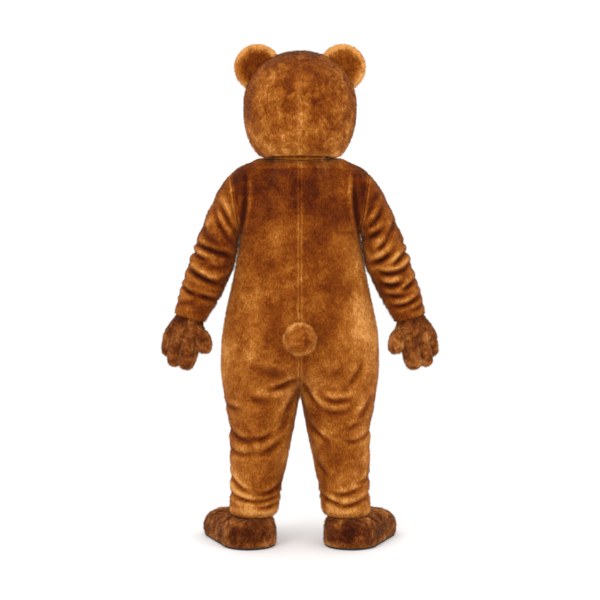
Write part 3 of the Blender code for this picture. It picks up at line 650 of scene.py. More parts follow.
def suit_marks(name, points):
    """The suit's tones: painted shade over the shoulders, paler hips and thighs, and a painted sheen, paler,
    towards the sides, which leaves the middle darker.
    """
    height = points[:, 2] + HELD
    across = np.abs(points[:, 0])
    if name.startswith("sleeve"):
        return {"tone": -0.11 + 0.10 * smooth_step(0.24, 0.46, across), "crush": 0.35}
    # painted shade, darker from the waist up to the shoulders, and a little paler low on the legs
    tone = through([(0.10, 0.10), (0.45, 0.05), (0.62, 0.03), (0.80, 0.05), (0.98, -0.02), (1.15, -0.09),
                    (1.30, -0.19), (1.46, -0.24)], height)
    # a painted sheen, paler towards the sides of hips and trunk
    outward = smooth_step(0.40, 1.0, across / through(TRUNK_WIDTH, height))
    tone += SIDES_SHEEN * outward * smooth_step(0.50, 0.64, height) * smooth_step(1.26, 1.10, height)
    # a painted shadow beside the armhole, and a painted highlight on the ridge where the back begins to hang
    tone -= ARMHOLE_SHADOW * np.exp(-(((across - 0.228) / 0.026) ** 2)) * smooth_step(1.16, 1.24, height)
    ridge = np.exp(-(((across - 0.187 - 0.018 * smooth_step(1.30, 1.18, height)) / 0.008) ** 2))
    tone += RIDGE_HIGHLIGHT * ridge * smooth_step(1.15, 1.22, height) * smooth_step(1.42, 1.36, height)
    return {"tone": tone, "crush": 0.15 + 0.3 * (height > 1.3)}


def declare(piece, body, node):
    """Attaches a piece to the body it moves with and hides the solid it stands for."""
    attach(piece, body)
    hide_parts(node)


# Each cut as a piece of its own, and how it is held
for name in suit.names:
    points, faces, marks = suit.panel(name, CLOTH)
    from_neck = np.hypot(points[:, 0], points[:, 1])
    marks["pile"] *= smooth_step(0.16, 0.19, from_neck + (points[:, 2] < 1.40 - HELD))
    marks.update(suit_marks(name, points))
    piece = add_piece(name + "_plush", points, faces, brown_plush, **marks)
    declare(piece, "suit", name)

# ------------------------------------------------------------------------------------------------
# The tail. A ball of the same plush, firmly stuffed, gathered at top and bottom where its two halves
# are sewn together, and stitched down on the centre seam so that it takes the seat's form behind.

TAIL_HEIGHT = 0.796
TAIL_RADIUS = 0.061
TAIL_OUT = 0.040  # from the seat to the tail's centre
TAIL_JOIN = 0.003  # how deep its seam is drawn in
PRESSED = 0.003  # gap to the cloth that the tail is sewn on
tail_centre = Vector((0, float(through(TRUNK_BACK, TAIL_HEIGHT)) + TAIL_OUT, TAIL_HEIGHT - HELD))


def ball(columns, rows, size, centre):
    """An ellipsoid whose poles lie left and right."""
    build = bmesh.new()
    bmesh.ops.create_uvsphere(build, u_segments=columns, v_segments=rows, radius=1)
    bmesh.ops.rotate(build, matrix=Euler((0, math.pi / 2, 0)).to_matrix(), verts=build.verts)
    bmesh.ops.scale(build, vec=size, verts=build.verts)
    bmesh.ops.translate(build, vec=centre, verts=build.verts)
    build.normal_update()
    return build


def taken(build):
    """The points and faces of a form that is done with."""
    points, faces = [v.co.copy() for v in build.verts], [[v.index for v in f.verts] for f in build.faces]
    build.free()
    return points, faces


build = ball(84, 56, [TAIL_RADIUS] * 3, tail_centre)
points = np.array([v.co for v in build.verts])
fluff = uneven(points, [(0.0016, 0.016), (0.0010, 0.007)])
off_centre = np.hypot(points[:, 0], points[:, 2] - tail_centre.z) / TAIL_RADIUS
join = np.exp(-((points[:, 0] / 0.004) ** 2)) * smooth_step(0.55, 0.95, off_centre)
seat = BVHTree.FromBMesh(suit.mesh)
for v, rise in zip(build.verts, fluff - TAIL_JOIN * join):
    v.co += v.normal * rise
    hit = seat.ray_cast(Vector((v.co.x, 1.0, v.co.z)), Vector((0, -1, 0)))[0]
    v.co.y = max(v.co.y, hit.y + PRESSED)
# its rim painted paler, a painted sheen
tail = add_piece("tail_plush", *taken(build), brown_plush, tone=0.22 * smooth_step(0.45, 1.0, off_centre),
                 seam=0.4 * join, crush=0.8, pile=1)
declare(tail, "suit", "tail")

# ------------------------------------------------------------------------------------------------
# The boot covers. Darker plush over the wearer's own shoes, a heel piece and a toe piece sewn up the
# sides, gathered by elastic round the ankle inside the trouser hem, on a thin black rubber sole.

HEEL_AT = np.array([0.194, 0.030])
HEEL_RADIUS = 0.102
TOE_RADIUS = 0.108
HEEL_TO_TOE = 0.190
SPLAY = math.radians(22)
ANKLE_AT = np.array([0.1775, 0.0])
ANKLE_RADIUS = 0.069
SOLE = 0.008
# (share of the way from the foot's outline to the ankle, height at the heel, how much higher over the toes)
BOOT_PROFILE = [(0.00, 0.0085, 0.0), (-0.03, 0.038, 0.0), (0.02, 0.066, 0.001), (0.11, 0.082, 0.000),
                (0.28, 0.096, 0.002), (0.58, 0.106, 0.002), (1.00, 0.114, 0.0), (1.00, 0.165, 0.0)]
TOE_REACH = 0.120
OUTLINE = 176
ARC_STEPS = 60
PROFILE_ROWS = 56
HEEL_SHARE = 5 / 22  # where the side seams run, as a share of the outline from the heel
GATHER_ROLL = 0.5  # the cloth pushed up beside a gather, as a share of its depth
GATHER_ROLL_AT = 1.8  # from its middle, in widths
# Gathers below the ankle elastic: (place round the outline, width as a share of it, depth)
GATHERS = [(0.070, 0.012, 0.0022), (0.120, 0.010, 0.0030), (0.170, 0.012, 0.0026), (0.255, 0.011, 0.0040),
           (0.300, 0.010, 0.0046), (0.345, 0.012, 0.0040), (0.400, 0.012, 0.0044), (0.455, 0.010, 0.0036),
           (0.510, 0.012, 0.0044), (0.556, 0.010, 0.0050), (0.596, 0.009, 0.0056), (0.634, 0.010, 0.0060),
           (0.668, 0.008, 0.0052), (0.700, 0.009, 0.0062), (0.736, 0.009, 0.0050), (0.806, 0.010, 0.0046),
           (0.850, 0.010, 0.0030), (0.915, 0.012, 0.0024), (0.965, 0.010, 0.0020)]


def foot_outline(count, spare=0.0):
    """Points round the foot, evenly spaced from the heel: two circles and their common tangents."""
    ahead = np.array([math.sin(SPLAY), -math.cos(SPLAY)])
    across = np.array([-ahead[1], ahead[0]])
    lean = math.asin((TOE_RADIUS - HEEL_RADIUS) / HEEL_TO_TOE)
    fine = []
    for centre, radius, start, end in (
        (HEEL_AT, HEEL_RADIUS, -math.pi, -math.pi / 2 + lean),
        (HEEL_AT + ahead * HEEL_TO_TOE, TOE_RADIUS, -math.pi / 2 + lean, math.pi / 2 - lean),
        (HEEL_AT, HEEL_RADIUS, math.pi / 2 - lean, math.pi),
    ):
        for a in np.linspace(start, end, ARC_STEPS):
            fine.append(centre + (radius + spare) * (ahead * math.cos(a) + across * math.sin(a)))
    fine = np.array(fine)
    run = np.concatenate([[0], np.cumsum(np.linalg.norm(np.diff(fine, axis=0), axis=1))])
    at = np.linspace(0, run[-1], count + 1)[:-1]
    return np.stack([np.interp(at, run, fine[:, 0]), np.interp(at, run, fine[:, 1])], axis=1)


outline = foot_outline(OUTLINE)
heel_angle = math.atan2(*(outline[0] - ANKLE_AT)[::-1])
turned = heel_angle + np.arange(OUTLINE) / OUTLINE * math.tau
ankle = ANKLE_AT + ANKLE_RADIUS * np.stack([np.cos(turned), np.sin(turned)], -1)
toes = np.minimum(np.linalg.norm(outline - ankle, axis=1) / TOE_REACH, 1) ** 2
along = np.linspace(0, len(BOOT_PROFILE) - 1, PROFILE_ROWS + 1)
boot_rows = through([(i, knot) for i, knot in enumerate(BOOT_PROFILE)], along)
drawn_in = np.exp(-(((along - 4.3) / 1.25) ** 2))

dark_plush = plush("brushed dark-brown plush", ["#260700", "#431500", "#642D07", "#8C4E1D", "#BC7D40"], 0.070)


def boot_folds(points, normals, panels, gap):
    """The gathers below the elastic, and the plush's unevenness."""
    return uneven(points, [(0.0025, 0.045), (0.0012, 0.018)]) + boot_gathers


# Moulded sheet with a dusty, slightly pebbled face: black, and scuffed a little paler in places
rubber, tree, shader, place = start_finish("matt black rubber sheet")
scuffs = add_node(tree, "ShaderNodeTexNoise", {"Vector": place, "Scale": 1 / 0.03, "Detail": 4.0})
shade_by(scuffs, ["#17120F", "#332B26"], shader)
pebbles = add_node(tree, "ShaderNodeTexVoronoi", {"Vector": place, "Scale": 1 / 0.002})
dents = add_node(tree, "ShaderNodeBump", {"Height": pebbles, "Strength": 0.3, "Distance": 0.0004})
tree.links.new(dents, shader.inputs["Normal"])
set_evenly(shader, {"Roughness": 0.75})


def band_faces(rows, steps):
    """The faces between rows of points that go all the way round."""
    around = [(j, (j + 1) % steps) for j in range(steps)]
    return [[i * steps + j, i * steps + k, (i + 1) * steps + k, (i + 1) * steps + j]
            for i in range(rows - 1) for j, k in around]


# painted light round the sole and over the upper boot, and painted shade on the heel's middle
EDGE_LIGHT = 0.20
INSTEP_LIGHT = 0.10
HEEL_SHADE = 0.16
SOLE_PROFILE = [(-0.0035, 0.0), (-0.0015, 0.0012), (-0.0010, 0.0030), (-0.0010, 0.0065), (-0.0020, SOLE)]
for side, sign in SIDES:
    boot = Sewing()
    rows = []
    for share, height, extra in boot_rows:
        level = outline * (1 - share) + ankle * share
        rows.append(np.stack([*level.T, height + toes * extra], -1))
    heel_end = round(OUTLINE * HEEL_SHARE)
    places = {"quarter": np.arange(-heel_end, heel_end + 1),
              "vamp": np.arange(heel_end, OUTLINE - heel_end + 1)}
    for part, at in places.items():
        boot.add(f"boot_{part}_{side}", [row[at % OUTLINE] for row in rows], sign)
    boot.sew()
    tree = KDTree(OUTLINE * len(rows))
    for i, row in enumerate(rows):
        for j, point in enumerate(row):
            tree.insert((point[0] * sign, point[1], point[2] - HELD), i * OUTLINE + j)
    tree.balance()
    found = np.array([tree.find(v.co)[1] for v in boot.mesh.verts])
    round_it = found % OUTLINE / OUTLINE
    boot_gathers = np.zeros(len(found))
    for middle, width, depth in GATHERS:
        off = np.abs(round_it - middle - 0.02 * np.sin(along[found // OUTLINE] * 1.7 + 40 * middle))
        off = np.minimum(off, 1 - off) / width
        pushed_up = GATHER_ROLL * np.exp(-((off - GATHER_ROLL_AT) ** 2))
        boot_gathers += depth * drawn_in[found // OUTLINE] * (pushed_up - np.exp(-(off**2)))
    boot.press(boot_folds, trough=0.0022, reach=0.006)
    for name in boot.names:
        points, faces, marks = boot.panel(name, CLOTH)
        marks["pile"] *= points[:, 2] < 0.112 - HELD
        height = points[:, 2] + HELD
        # painted light, paler round the sole and over the instep, and painted shade on the middle of the heel
        tone = EDGE_LIGHT * smooth_step(0.040, 0.012, height)
        tone += INSTEP_LIGHT * smooth_step(0.075, 0.095, height)
        heel = np.exp(-(((np.abs(points[:, 0]) - HEEL_AT[0]) / 0.055) ** 2)) * (points[:, 1] > 0)
        tone -= HEEL_SHADE * heel
        piece = add_piece(name + "_plush", points, faces, dark_plush, crush=1, tone=tone, **marks)
        declare(piece, "suit", name)
    points = []
    for spare, height in SOLE_PROFILE:
        points += [(sign * x, y, height - HELD) for x, y in foot_outline(OUTLINE, spare)]
    top = (len(SOLE_PROFILE) - 1) * OUTLINE
    faces = band_faces(len(SOLE_PROFILE), OUTLINE)
    faces += [list(range(OUTLINE))[::-1], [top + j for j in range(OUTLINE)]]
    if sign < 0:
        faces = [face[::-1] for face in faces]
    sole = add_piece(f"boot_sole_sheet_{side}", points, faces, rubber)
    sole.data.set_sharp_from_angle(angle=math.radians(40))
    declare(sole, "suit", f"boot_sole_{side}")

# ------------------------------------------------------------------------------------------------
# The gloves. Darker plush mitts with three fat fingers and a thumb, a palm and a back sewn together
# round the edge; the wrist goes up inside the sleeve's cuff.

GLOVE_AT = (0.4175, -0.004, 0.863)
GLOVE_LEAN = math.radians(13)
GLOVE_TURN = math.radians(-32)
# In the hand's own frame: (down, four places across from index to little finger, half thickness)
PALM = [(-0.045, (-0.045, -0.019, 0.019, 0.045), 0.045), (0.004, (-0.045, -0.018, 0.020, 0.045), 0.042),
        (0.028, (-0.055, -0.017, 0.028, 0.060), 0.044), (0.058, (-0.062, -0.012, 0.038, 0.080), 0.046),
        (0.090, (-0.060, -0.005, 0.045, 0.092), 0.040)]
# (middle across, reach, half width, half thickness, how far it lies out from the palm)
FINGERS = [(-0.031, 0.116, 0.0350, 0.039, 0.000), (0.022, 0.118, 0.0315, 0.036, 0.007),
           (0.070, 0.086, 0.0280, 0.033, -0.011)]
THUMB_ROW = 2
# (across, down, degrees away from straight down, half width, half thickness)
THUMB = [(-0.078, 0.058, 50, 0.025, 0.031), (-0.093, 0.086, 15, 0.029, 0.032),
         (-0.097, 0.118, 0, 0.025, 0.027)]
EDGE_THIN = 0.80  # the palm's thickness along its edges, against its middle
GLOVE_FINENESS = 3  # times the coarse form is subdivided
GLOVE_SWELLS = 0.0038  # so that the fingers touch


def drawn_on(build, ring, places):
    """Carries a form on from a ring of four points to a new one."""
    new = tuple(build.verts.new(place) for place in places)
    for j in range(4):
        build.faces.new((ring[j], ring[(j + 1) % 4], new[(j + 1) % 4], new[j]))
    return new


def coarse_glove():
    """The mitt with its fingers as a coarse form; across, out and down in the hand's own frame."""
    build = bmesh.new()
    rings = []
    for down, places, thick in PALM:
        rings.append([[build.verts.new((u, way * thick * (EDGE_THIN if i in (0, 3) else 1), down))
                       for i, u in enumerate(places)] for way in (-1, 1)])
    thumb_face = None
    for row, ((f0, b0), (f1, b1)) in enumerate(zip(rings, rings[1:])):
        for i in range(3):
            build.faces.new((f0[i], f0[i + 1], f1[i + 1], f1[i]))
            build.faces.new((b0[i + 1], b0[i], b1[i], b1[i + 1]))
        edge = (b0[0], f0[0], f1[0], b1[0])
        if row == THUMB_ROW:
            thumb_face = edge
        else:
            build.faces.new(edge)
        build.faces.new((f0[3], b0[3], b1[3], f1[3]))
    front, back = rings[-1]
    for i, (middle, reach, wide, thick, lift) in enumerate(FINGERS):
        ring = (front[i], front[i + 1], back[i + 1], back[i])
        base = front[i].co.z
        for share, full in ((0.30, 0.95), (0.95, 0.94)):
            out = lift * min(1, share * 2)
            corners = [(middle + a * wide * full, out + b * thick * full, base + reach * share)
                       for a, b in ((-0.93, -1), (0.93, -1), (0.93, 1), (-0.93, 1))]
            ring = drawn_on(build, ring, corners)
        build.faces.new(ring)
    ring = thumb_face
    for across, down, away, wide, thick in THUMB:
        step = (-math.cos(math.radians(away)) * wide, -math.sin(math.radians(away)) * wide)
        ring = drawn_on(build, ring, [(across + way * step[0], b * thick, down + way * step[1])
                                      for way, b in ((1, 1), (1, -1), (-1, -1), (-1, 1))])
    build.faces.new(ring)
    return build


form = bpy.data.meshes.new("glove form")
build = coarse_glove()
build.to_mesh(form)
build.free()
helper = bpy.data.objects.new("glove form", form)
bpy.context.scene.collection.objects.link(helper)
rounding = helper.modifiers.new("rounding", "SUBSURF")
rounding.levels = rounding.render_levels = GLOVE_FINENESS
fine_glove = bpy.data.meshes.new_from_object(helper.evaluated_get(bpy.context.evaluated_depsgraph_get()))
bpy.data.objects.remove(helper)


def glove_folds(points, normals, panels, gap):
    """A full, soft mitt: its fingers swell until they touch, with slight dents over the knuckles."""
    return uneven(points, [(0.0020, 0.032), (0.0009, 0.013)], GLOVE_SWELLS)


turn = (math.cos(GLOVE_TURN), math.sin(GLOVE_TURN))
lean = (math.cos(GLOVE_LEAN), math.sin(GLOVE_LEAN))
for side, sign in SIDES:
    glove = Sewing()
    glove.names = [f"glove_palm_{side}", f"glove_back_{side}"]
    glove.mesh.from_mesh(fine_glove)
    glove.tag = glove.mesh.faces.layers.int.new("panel")
    for face in glove.mesh.faces:
        face[glove.tag] = int(face.calc_center_median().y > 0)
    for v in glove.mesh.verts:
        u, out, down = v.co
        u, out = u * turn[0] - out * turn[1], u * turn[1] + out * turn[0]
        v.co = (sign * (GLOVE_AT[0] + u * lean[0] + down * lean[1]), GLOVE_AT[1] + out,
                GLOVE_AT[2] + u * lean[1] - down * lean[0] - HELD)
    bmesh.ops.recalc_face_normals(glove.mesh, faces=glove.mesh.faces)
    glove.face_out()
    glove.press(glove_folds, trough=0.0016, reach=0.0045)
    for name in glove.names:
        points, faces, marks = glove.panel(name, CLOTH)
        past_cuff = (points[:, 0] * sign - GLOVE_AT[0]) * lean[1]
        past_cuff -= (points[:, 2] + HELD - GLOVE_AT[2]) * lean[0]
        marks["pile"] *= past_cuff > 0.004
        # the even swell is kept out of the painted shade and highlight
        marks["fold"] -= GLOVE_SWELLS
        piece = add_piece(name + "_plush", points, faces, dark_plush, crush=1, tone=0.08, **marks)
        declare(piece, "suit", name)

# ------------------------------------------------------------------------------------------------
# The head. Four gores of the golden-brown plush, glued over a stiff foam shell and sewn at the centre
# and the sides, turned in under the jaw round the neck opening.

HEAD_HEIGHT = 1.666
HEAD_WIDTH = 0.211
HEAD_DEPTH = 0.204
HEAD_CROWN = 0.198
HEAD_JAW = 0.2423
HEAD_CHEEKS = 2.5
HEAD_TURN_UNDER = 0.150
HEAD_RIM = 0.118
HEAD_BOTTOM = 1.466
RIM_LEVEL = 0.14
FOAM = 0.012
HEAD_COLUMNS = 58
MUZZLE_AT = (0.0, -0.192, 1.610)
EYE_AT = (0.074, -0.182, 1.704)
UNDER_MUZZLE = 0.070
EYE_RADIUS = 0.024
HEAD_ROWS = 100
# (height, how much paler or darker)
HEAD_TONES = [(1.46, 0.10), (1.56, 0.03), (1.66, -0.04), (1.76, -0.04), (1.82, -0.12), (1.87, -0.22)]
HEAD_SEAM_SHOWS = 0.32


def head_point(level, around, spare=0.0):
    """Points of the head: level runs from the neck opening (0) to the crown (1), around from +Y to +X."""
    power = 2 / HEAD_CHEEKS
    jaw_end = math.acos((HEAD_TURN_UNDER / HEAD_WIDTH) ** (1 / power))
    low = HEAD_HEIGHT - HEAD_JAW * math.sin(jaw_end) ** power
    rim, turned = np.array([HEAD_RIM, HEAD_BOTTOM + 0.003]), np.array([HEAD_TURN_UNDER, low])
    under = bezier(rim, rim + (0.012, -0.006), turned - (0.008, 0.006), turned,
                   np.clip(level / RIM_LEVEL, 0, 1)[..., None])
    t = (np.maximum(level, RIM_LEVEL) - RIM_LEVEL) / (1 - RIM_LEVEL) * (jaw_end + math.pi / 2) - jaw_end
    cos, sin = np.clip(np.cos(t), 0, 1), np.sin(t)
    crown = np.stack([HEAD_WIDTH * cos, HEAD_HEIGHT + HEAD_CROWN * sin], -1)
    jaw = np.stack([HEAD_WIDTH * cos**power, HEAD_HEIGHT - HEAD_JAW * np.abs(sin) ** power], -1)
    profile = np.where((level < RIM_LEVEL)[..., None], under, np.where((t > 0)[..., None], crown, jaw))
    radius, height = profile[..., 0], profile[..., 1]
    depth = 1 + (HEAD_DEPTH / HEAD_WIDTH - 1) * np.clip((radius - HEAD_RIM) / 0.05, 0, 1)
    radius = radius + spare
    return np.stack([radius * np.sin(around), radius * depth * np.cos(around), height], -1)


def head_folds(points, normals, panels, gap):
    """Nearly smooth over its foam, with the plush a little crushed here and there."""
    rise = uneven(points, [(0.0014, 0.055), (0.0011, 0.022), (0.0006, 0.010)])
    return rise * smooth_step(HEAD_BOTTOM + 0.004, HEAD_BOTTOM + 0.050, points[:, 2] + HELD)


head = Sewing()
levels = np.linspace(0, 1, HEAD_ROWS + 1)[:, None]
for side, sign in SIDES:
    for half, first in (("back", 0), ("front", 1)):
        angles = (first + np.linspace(0, 1, HEAD_COLUMNS + 1)[None, :]) * math.pi / 2
        head.add(f"head_{half}_{side}", head_point(levels + 0 * angles, angles + 0 * levels), sign)
head.sew()
head.press(head_folds, trough=0.0006, reach=0.009)
for name in head.names:
    points, faces, marks = head.panel(name, FOAM)
    height = points[:, 2] + HELD
    across = np.abs(points[:, 0])
    # darker on the crown and beside the seam, paler round the jaw, and paler towards the sides, a painted
    # sheen
    tone = through(HEAD_TONES, height) + 0.07 * smooth_step(0.09, 0.16, across)
    tone -= 0.10 * np.exp(-(((across - 0.050) / 0.032) ** 2)) * (height > 1.55)
    marks["seam"] *= HEAD_SEAM_SHOWS
    # no pile grows at the neck's rim, under the eyes or under the muzzle
    bare = height < HEAD_BOTTOM + 0.008
    for bare_at, radius in ((EYE_AT, EYE_RADIUS), (MUZZLE_AT, UNDER_MUZZLE)):
        away = np.hypot(np.hypot(across - bare_at[0], height - bare_at[2]), points[:, 1] - bare_at[1])
        bare = bare | (away < radius)
    marks["pile"] *= ~bare
    piece = add_piece(name + "_plush", points, faces, brown_plush, tone=tone, crush=0.75, **marks)
    declare(piece, "head", name)

# ------------------------------------------------------------------------------------------------
# The ears. Each is two rounds of plush with a little stuffing, sewn round the rim and dished in the
# middle, then sewn down on the head so that the head's curve cuts across it.

EAR_AT = (0.160, -0.016, 1.806)
EAR_RADIUS = 0.087
EAR_THICK = 0.027
# (place from rim to middle, (share of the radius, share of the thickness))
EAR_DISH = [(0.0, (1.0, 0.0)), (0.6, (0.99, 0.36)), (1.2, (0.95, 0.74)), (2.0, (0.86, 0.98)),
            (2.8, (0.74, 0.98)), (4.0, (0.50, 0.80)), (5.0, (0.24, 0.69)), (6.0, (0.0, 0.66))]
# how much paler the rim is painted, a painted sheen
EAR_RIM_SHEEN = 0.50
EAR_STEPS = 96
EAR_RINGS = 34
EAR_SEAT = 0.0006  # gap to the head

SEAT_ROWS = 60
SEAT_STEPS = 96


def tip_faces(rows, steps):
    """The faces from the last row of points to the single point after it."""
    last = (rows - 1) * steps
    return [[last + j, last + (j + 1) % steps, rows * steps] for j in range(steps)]


# The head's own form, a little larger, which is cut out of the pieces that sit on it
levels = np.linspace(0, 1, SEAT_ROWS + 1)[:-1, None]
angles = np.linspace(0, math.tau, SEAT_STEPS + 1)[None, :-1]
points = head_point(levels + 0 * angles, angles + 0 * levels, EAR_SEAT).reshape(-1, 3)
points = np.concatenate([points, [(0, 0, HEAD_HEIGHT + HEAD_CROWN + EAR_SEAT)]]) - (0, 0, HELD)
faces = band_faces(SEAT_ROWS, SEAT_STEPS) + tip_faces(SEAT_ROWS, SEAT_STEPS)
head_seat = add_piece("head seat", points, [*faces, list(range(SEAT_STEPS))], brown_plush)
build = bmesh.new()
build.from_mesh(head_seat.data)
bmesh.ops.recalc_face_normals(build, faces=build.faces)
build.to_mesh(head_seat.data)
build.free()


def seated(piece, seat):
    """Cuts the seat's form out of a piece and leaves a plain mesh."""
    cut = piece.modifiers.new(seat.name, "BOOLEAN")
    cut.object = seat
    cut.operation = "DIFFERENCE"
    made = bpy.data.meshes.new_from_object(piece.evaluated_get(bpy.context.evaluated_depsgraph_get()))
    piece.modifiers.clear()
    piece.data = made
    made.shade_smooth()
    return piece


for side, sign in SIDES:
    for half, out in (("back", 1), ("front", -1)):
        rings = through(EAR_DISH, np.linspace(0, EAR_DISH[-1][0], EAR_RINGS + 1))[:-1]
        circle = np.arange(EAR_STEPS) / EAR_STEPS * math.tau
        centre = np.array([sign * EAR_AT[0], EAR_AT[1] + out * SEAM / 2, EAR_AT[2] - HELD])
        points = [centre + (sign * share * EAR_RADIUS * math.cos(a), out * bulge * EAR_THICK,
                            share * EAR_RADIUS * math.sin(a)) for share, bulge in rings for a in circle]
        points.append(centre + (0, out * EAR_DISH[-1][1][1] * EAR_THICK, 0))
        points = np.array(points)
        bulging = np.abs(points[:, 1] - centre[1]) > 0.002
        points[:, 1] += out * bulging * uneven(points, [(0.0014, 0.020), (0.0008, 0.009)])
        faces = band_faces(EAR_RINGS, EAR_STEPS) + tip_faces(EAR_RINGS, EAR_STEPS)
        faces.append(list(range(EAR_STEPS))[::-1])
        if out * sign > 0:
            faces = [face[::-1] for face in faces]
        ear = seated(add_piece(f"ear_{half}_{side}_plush", points, faces, brown_plush), head_seat)
        cut = np.array([v.co for v in ear.data.vertices])
        share = np.hypot(cut[:, 0] - centre[0], cut[:, 2] - centre[2]) / EAR_RADIUS
        # the rim painted paler, a painted sheen where the pile catches the light
        rim = smooth_step(0.52, 0.94, share)
        tone = EAR_RIM_SHEEN * rim - 0.01
        for mark, values in (("tone", tone), ("crush", 0.5 + 0 * rim), ("pile", 1 + 0 * rim)):
            ear.data.attributes[mark].data.foreach_set("value", values)
        declare(ear, "head", f"ear_{half}_{side}")

# ------------------------------------------------------------------------------------------------
# The muzzle, nose and eyes. A stuffed plush muzzle with a mouth line drawn in by thread, and a nose
# and two eyes moulded in glossy black plastic, all fixed through the foam of the face.

MUZZLE_SIZE = (0.088, 0.078, 0.064)
NOSE_AT = (0.0, -0.264, 1.640)
NOSE_SIZE = (0.034, 0.020, 0.023)
UNDER_NOSE = 0.036
MOUTH = [(-2, 1622, 0, 1606, 2, 1590, 3, 4),
         (0, 1590, 22, 1581, 44, 1594, 3, 4),
         (0, 1590, -22, 1581, -44, 1594, 3, 4)]

build = ball(120, 72, MUZZLE_SIZE, Vector(MUZZLE_AT) - Vector((0, 0, HELD)))
points = np.array([v.co for v in build.verts])
mouth = sum(crease(points, row) for row in MOUTH) * (points[:, 1] < MUZZLE_AT[1])
for v, rise in zip(build.verts, uneven(points, [(0.0012, 0.022), (0.0008, 0.009)], mouth)):
    v.co += v.normal * rise
from_nose = np.hypot(np.hypot(points[:, 0], points[:, 1] - NOSE_AT[1]), points[:, 2] + HELD - NOSE_AT[2])
# the mouth's creases painted darker and their rolls paler through fold: painted shade and highlight
muzzle = add_piece("muzzle_plush", *taken(build), brown_plush, fold=3 * mouth, tone=0.12, crush=0.6,
                   pile=from_nose > UNDER_NOSE)
seated(muzzle, head_seat)
declare(muzzle, "head", "muzzle")

# Polished ABS: nearly black, with clear reflections broken only by a faint waviness of the moulding
gloss, tree, shader, place = start_finish("moulded black plastic")
waves = add_node(tree, "ShaderNodeTexNoise", {"Vector": place, "Scale": 1 / 0.012, "Detail": 2.0})
shade_by(waves, ["#0B0807", "#1C1411"], shader)
dents = add_node(tree, "ShaderNodeBump", {"Height": waves, "Strength": 0.1, "Distance": 0.0005})
tree.links.new(dents, shader.inputs["Normal"])
set_evenly(shader, {"Roughness": 0.12, "IOR": 1.53, "Specular IOR Level": 0.30})

MOULDED = [("nose", NOSE_AT, NOSE_SIZE)]
MOULDED += [(f"eye_{side}", (sign * EYE_AT[0], *EYE_AT[1:]), [EYE_RADIUS] * 3) for side, sign in SIDES]
for name, place, size in MOULDED:
    build = ball(56, 36, size, Vector(place) - Vector((0, 0, HELD)))
    piece = add_piece(name + "_moulding", *taken(build), gloss)
    seated(piece, muzzle if name == "nose" else head_seat)
    declare(piece, "head", name)
bpy.data.objects.remove(head_seat)

# ------------------------------------------------------------------------------------------------
# The pile. Short tufts scattered over every plush face and laid downwards, as the cloth is brushed: one
# mesh for the golden brown of each body and one for the dark brown of gloves and boots.

PILE_LENGTH = 0.0080
PILE_WIDTH = 0.17  # of a tuft's length
PILE_COUNT = 39000  # tufts to a square metre
PILE_LAID = 0.75  # how far tufts lean downwards, against standing straight out
PILE_STRAYS = 0.35  # how far they lean to any side
TONE_CHANGES = (-0.14, 0.16)
TUFT_SIZES = (0.7, 1.15)  # against the length
PILE_SEED = 7


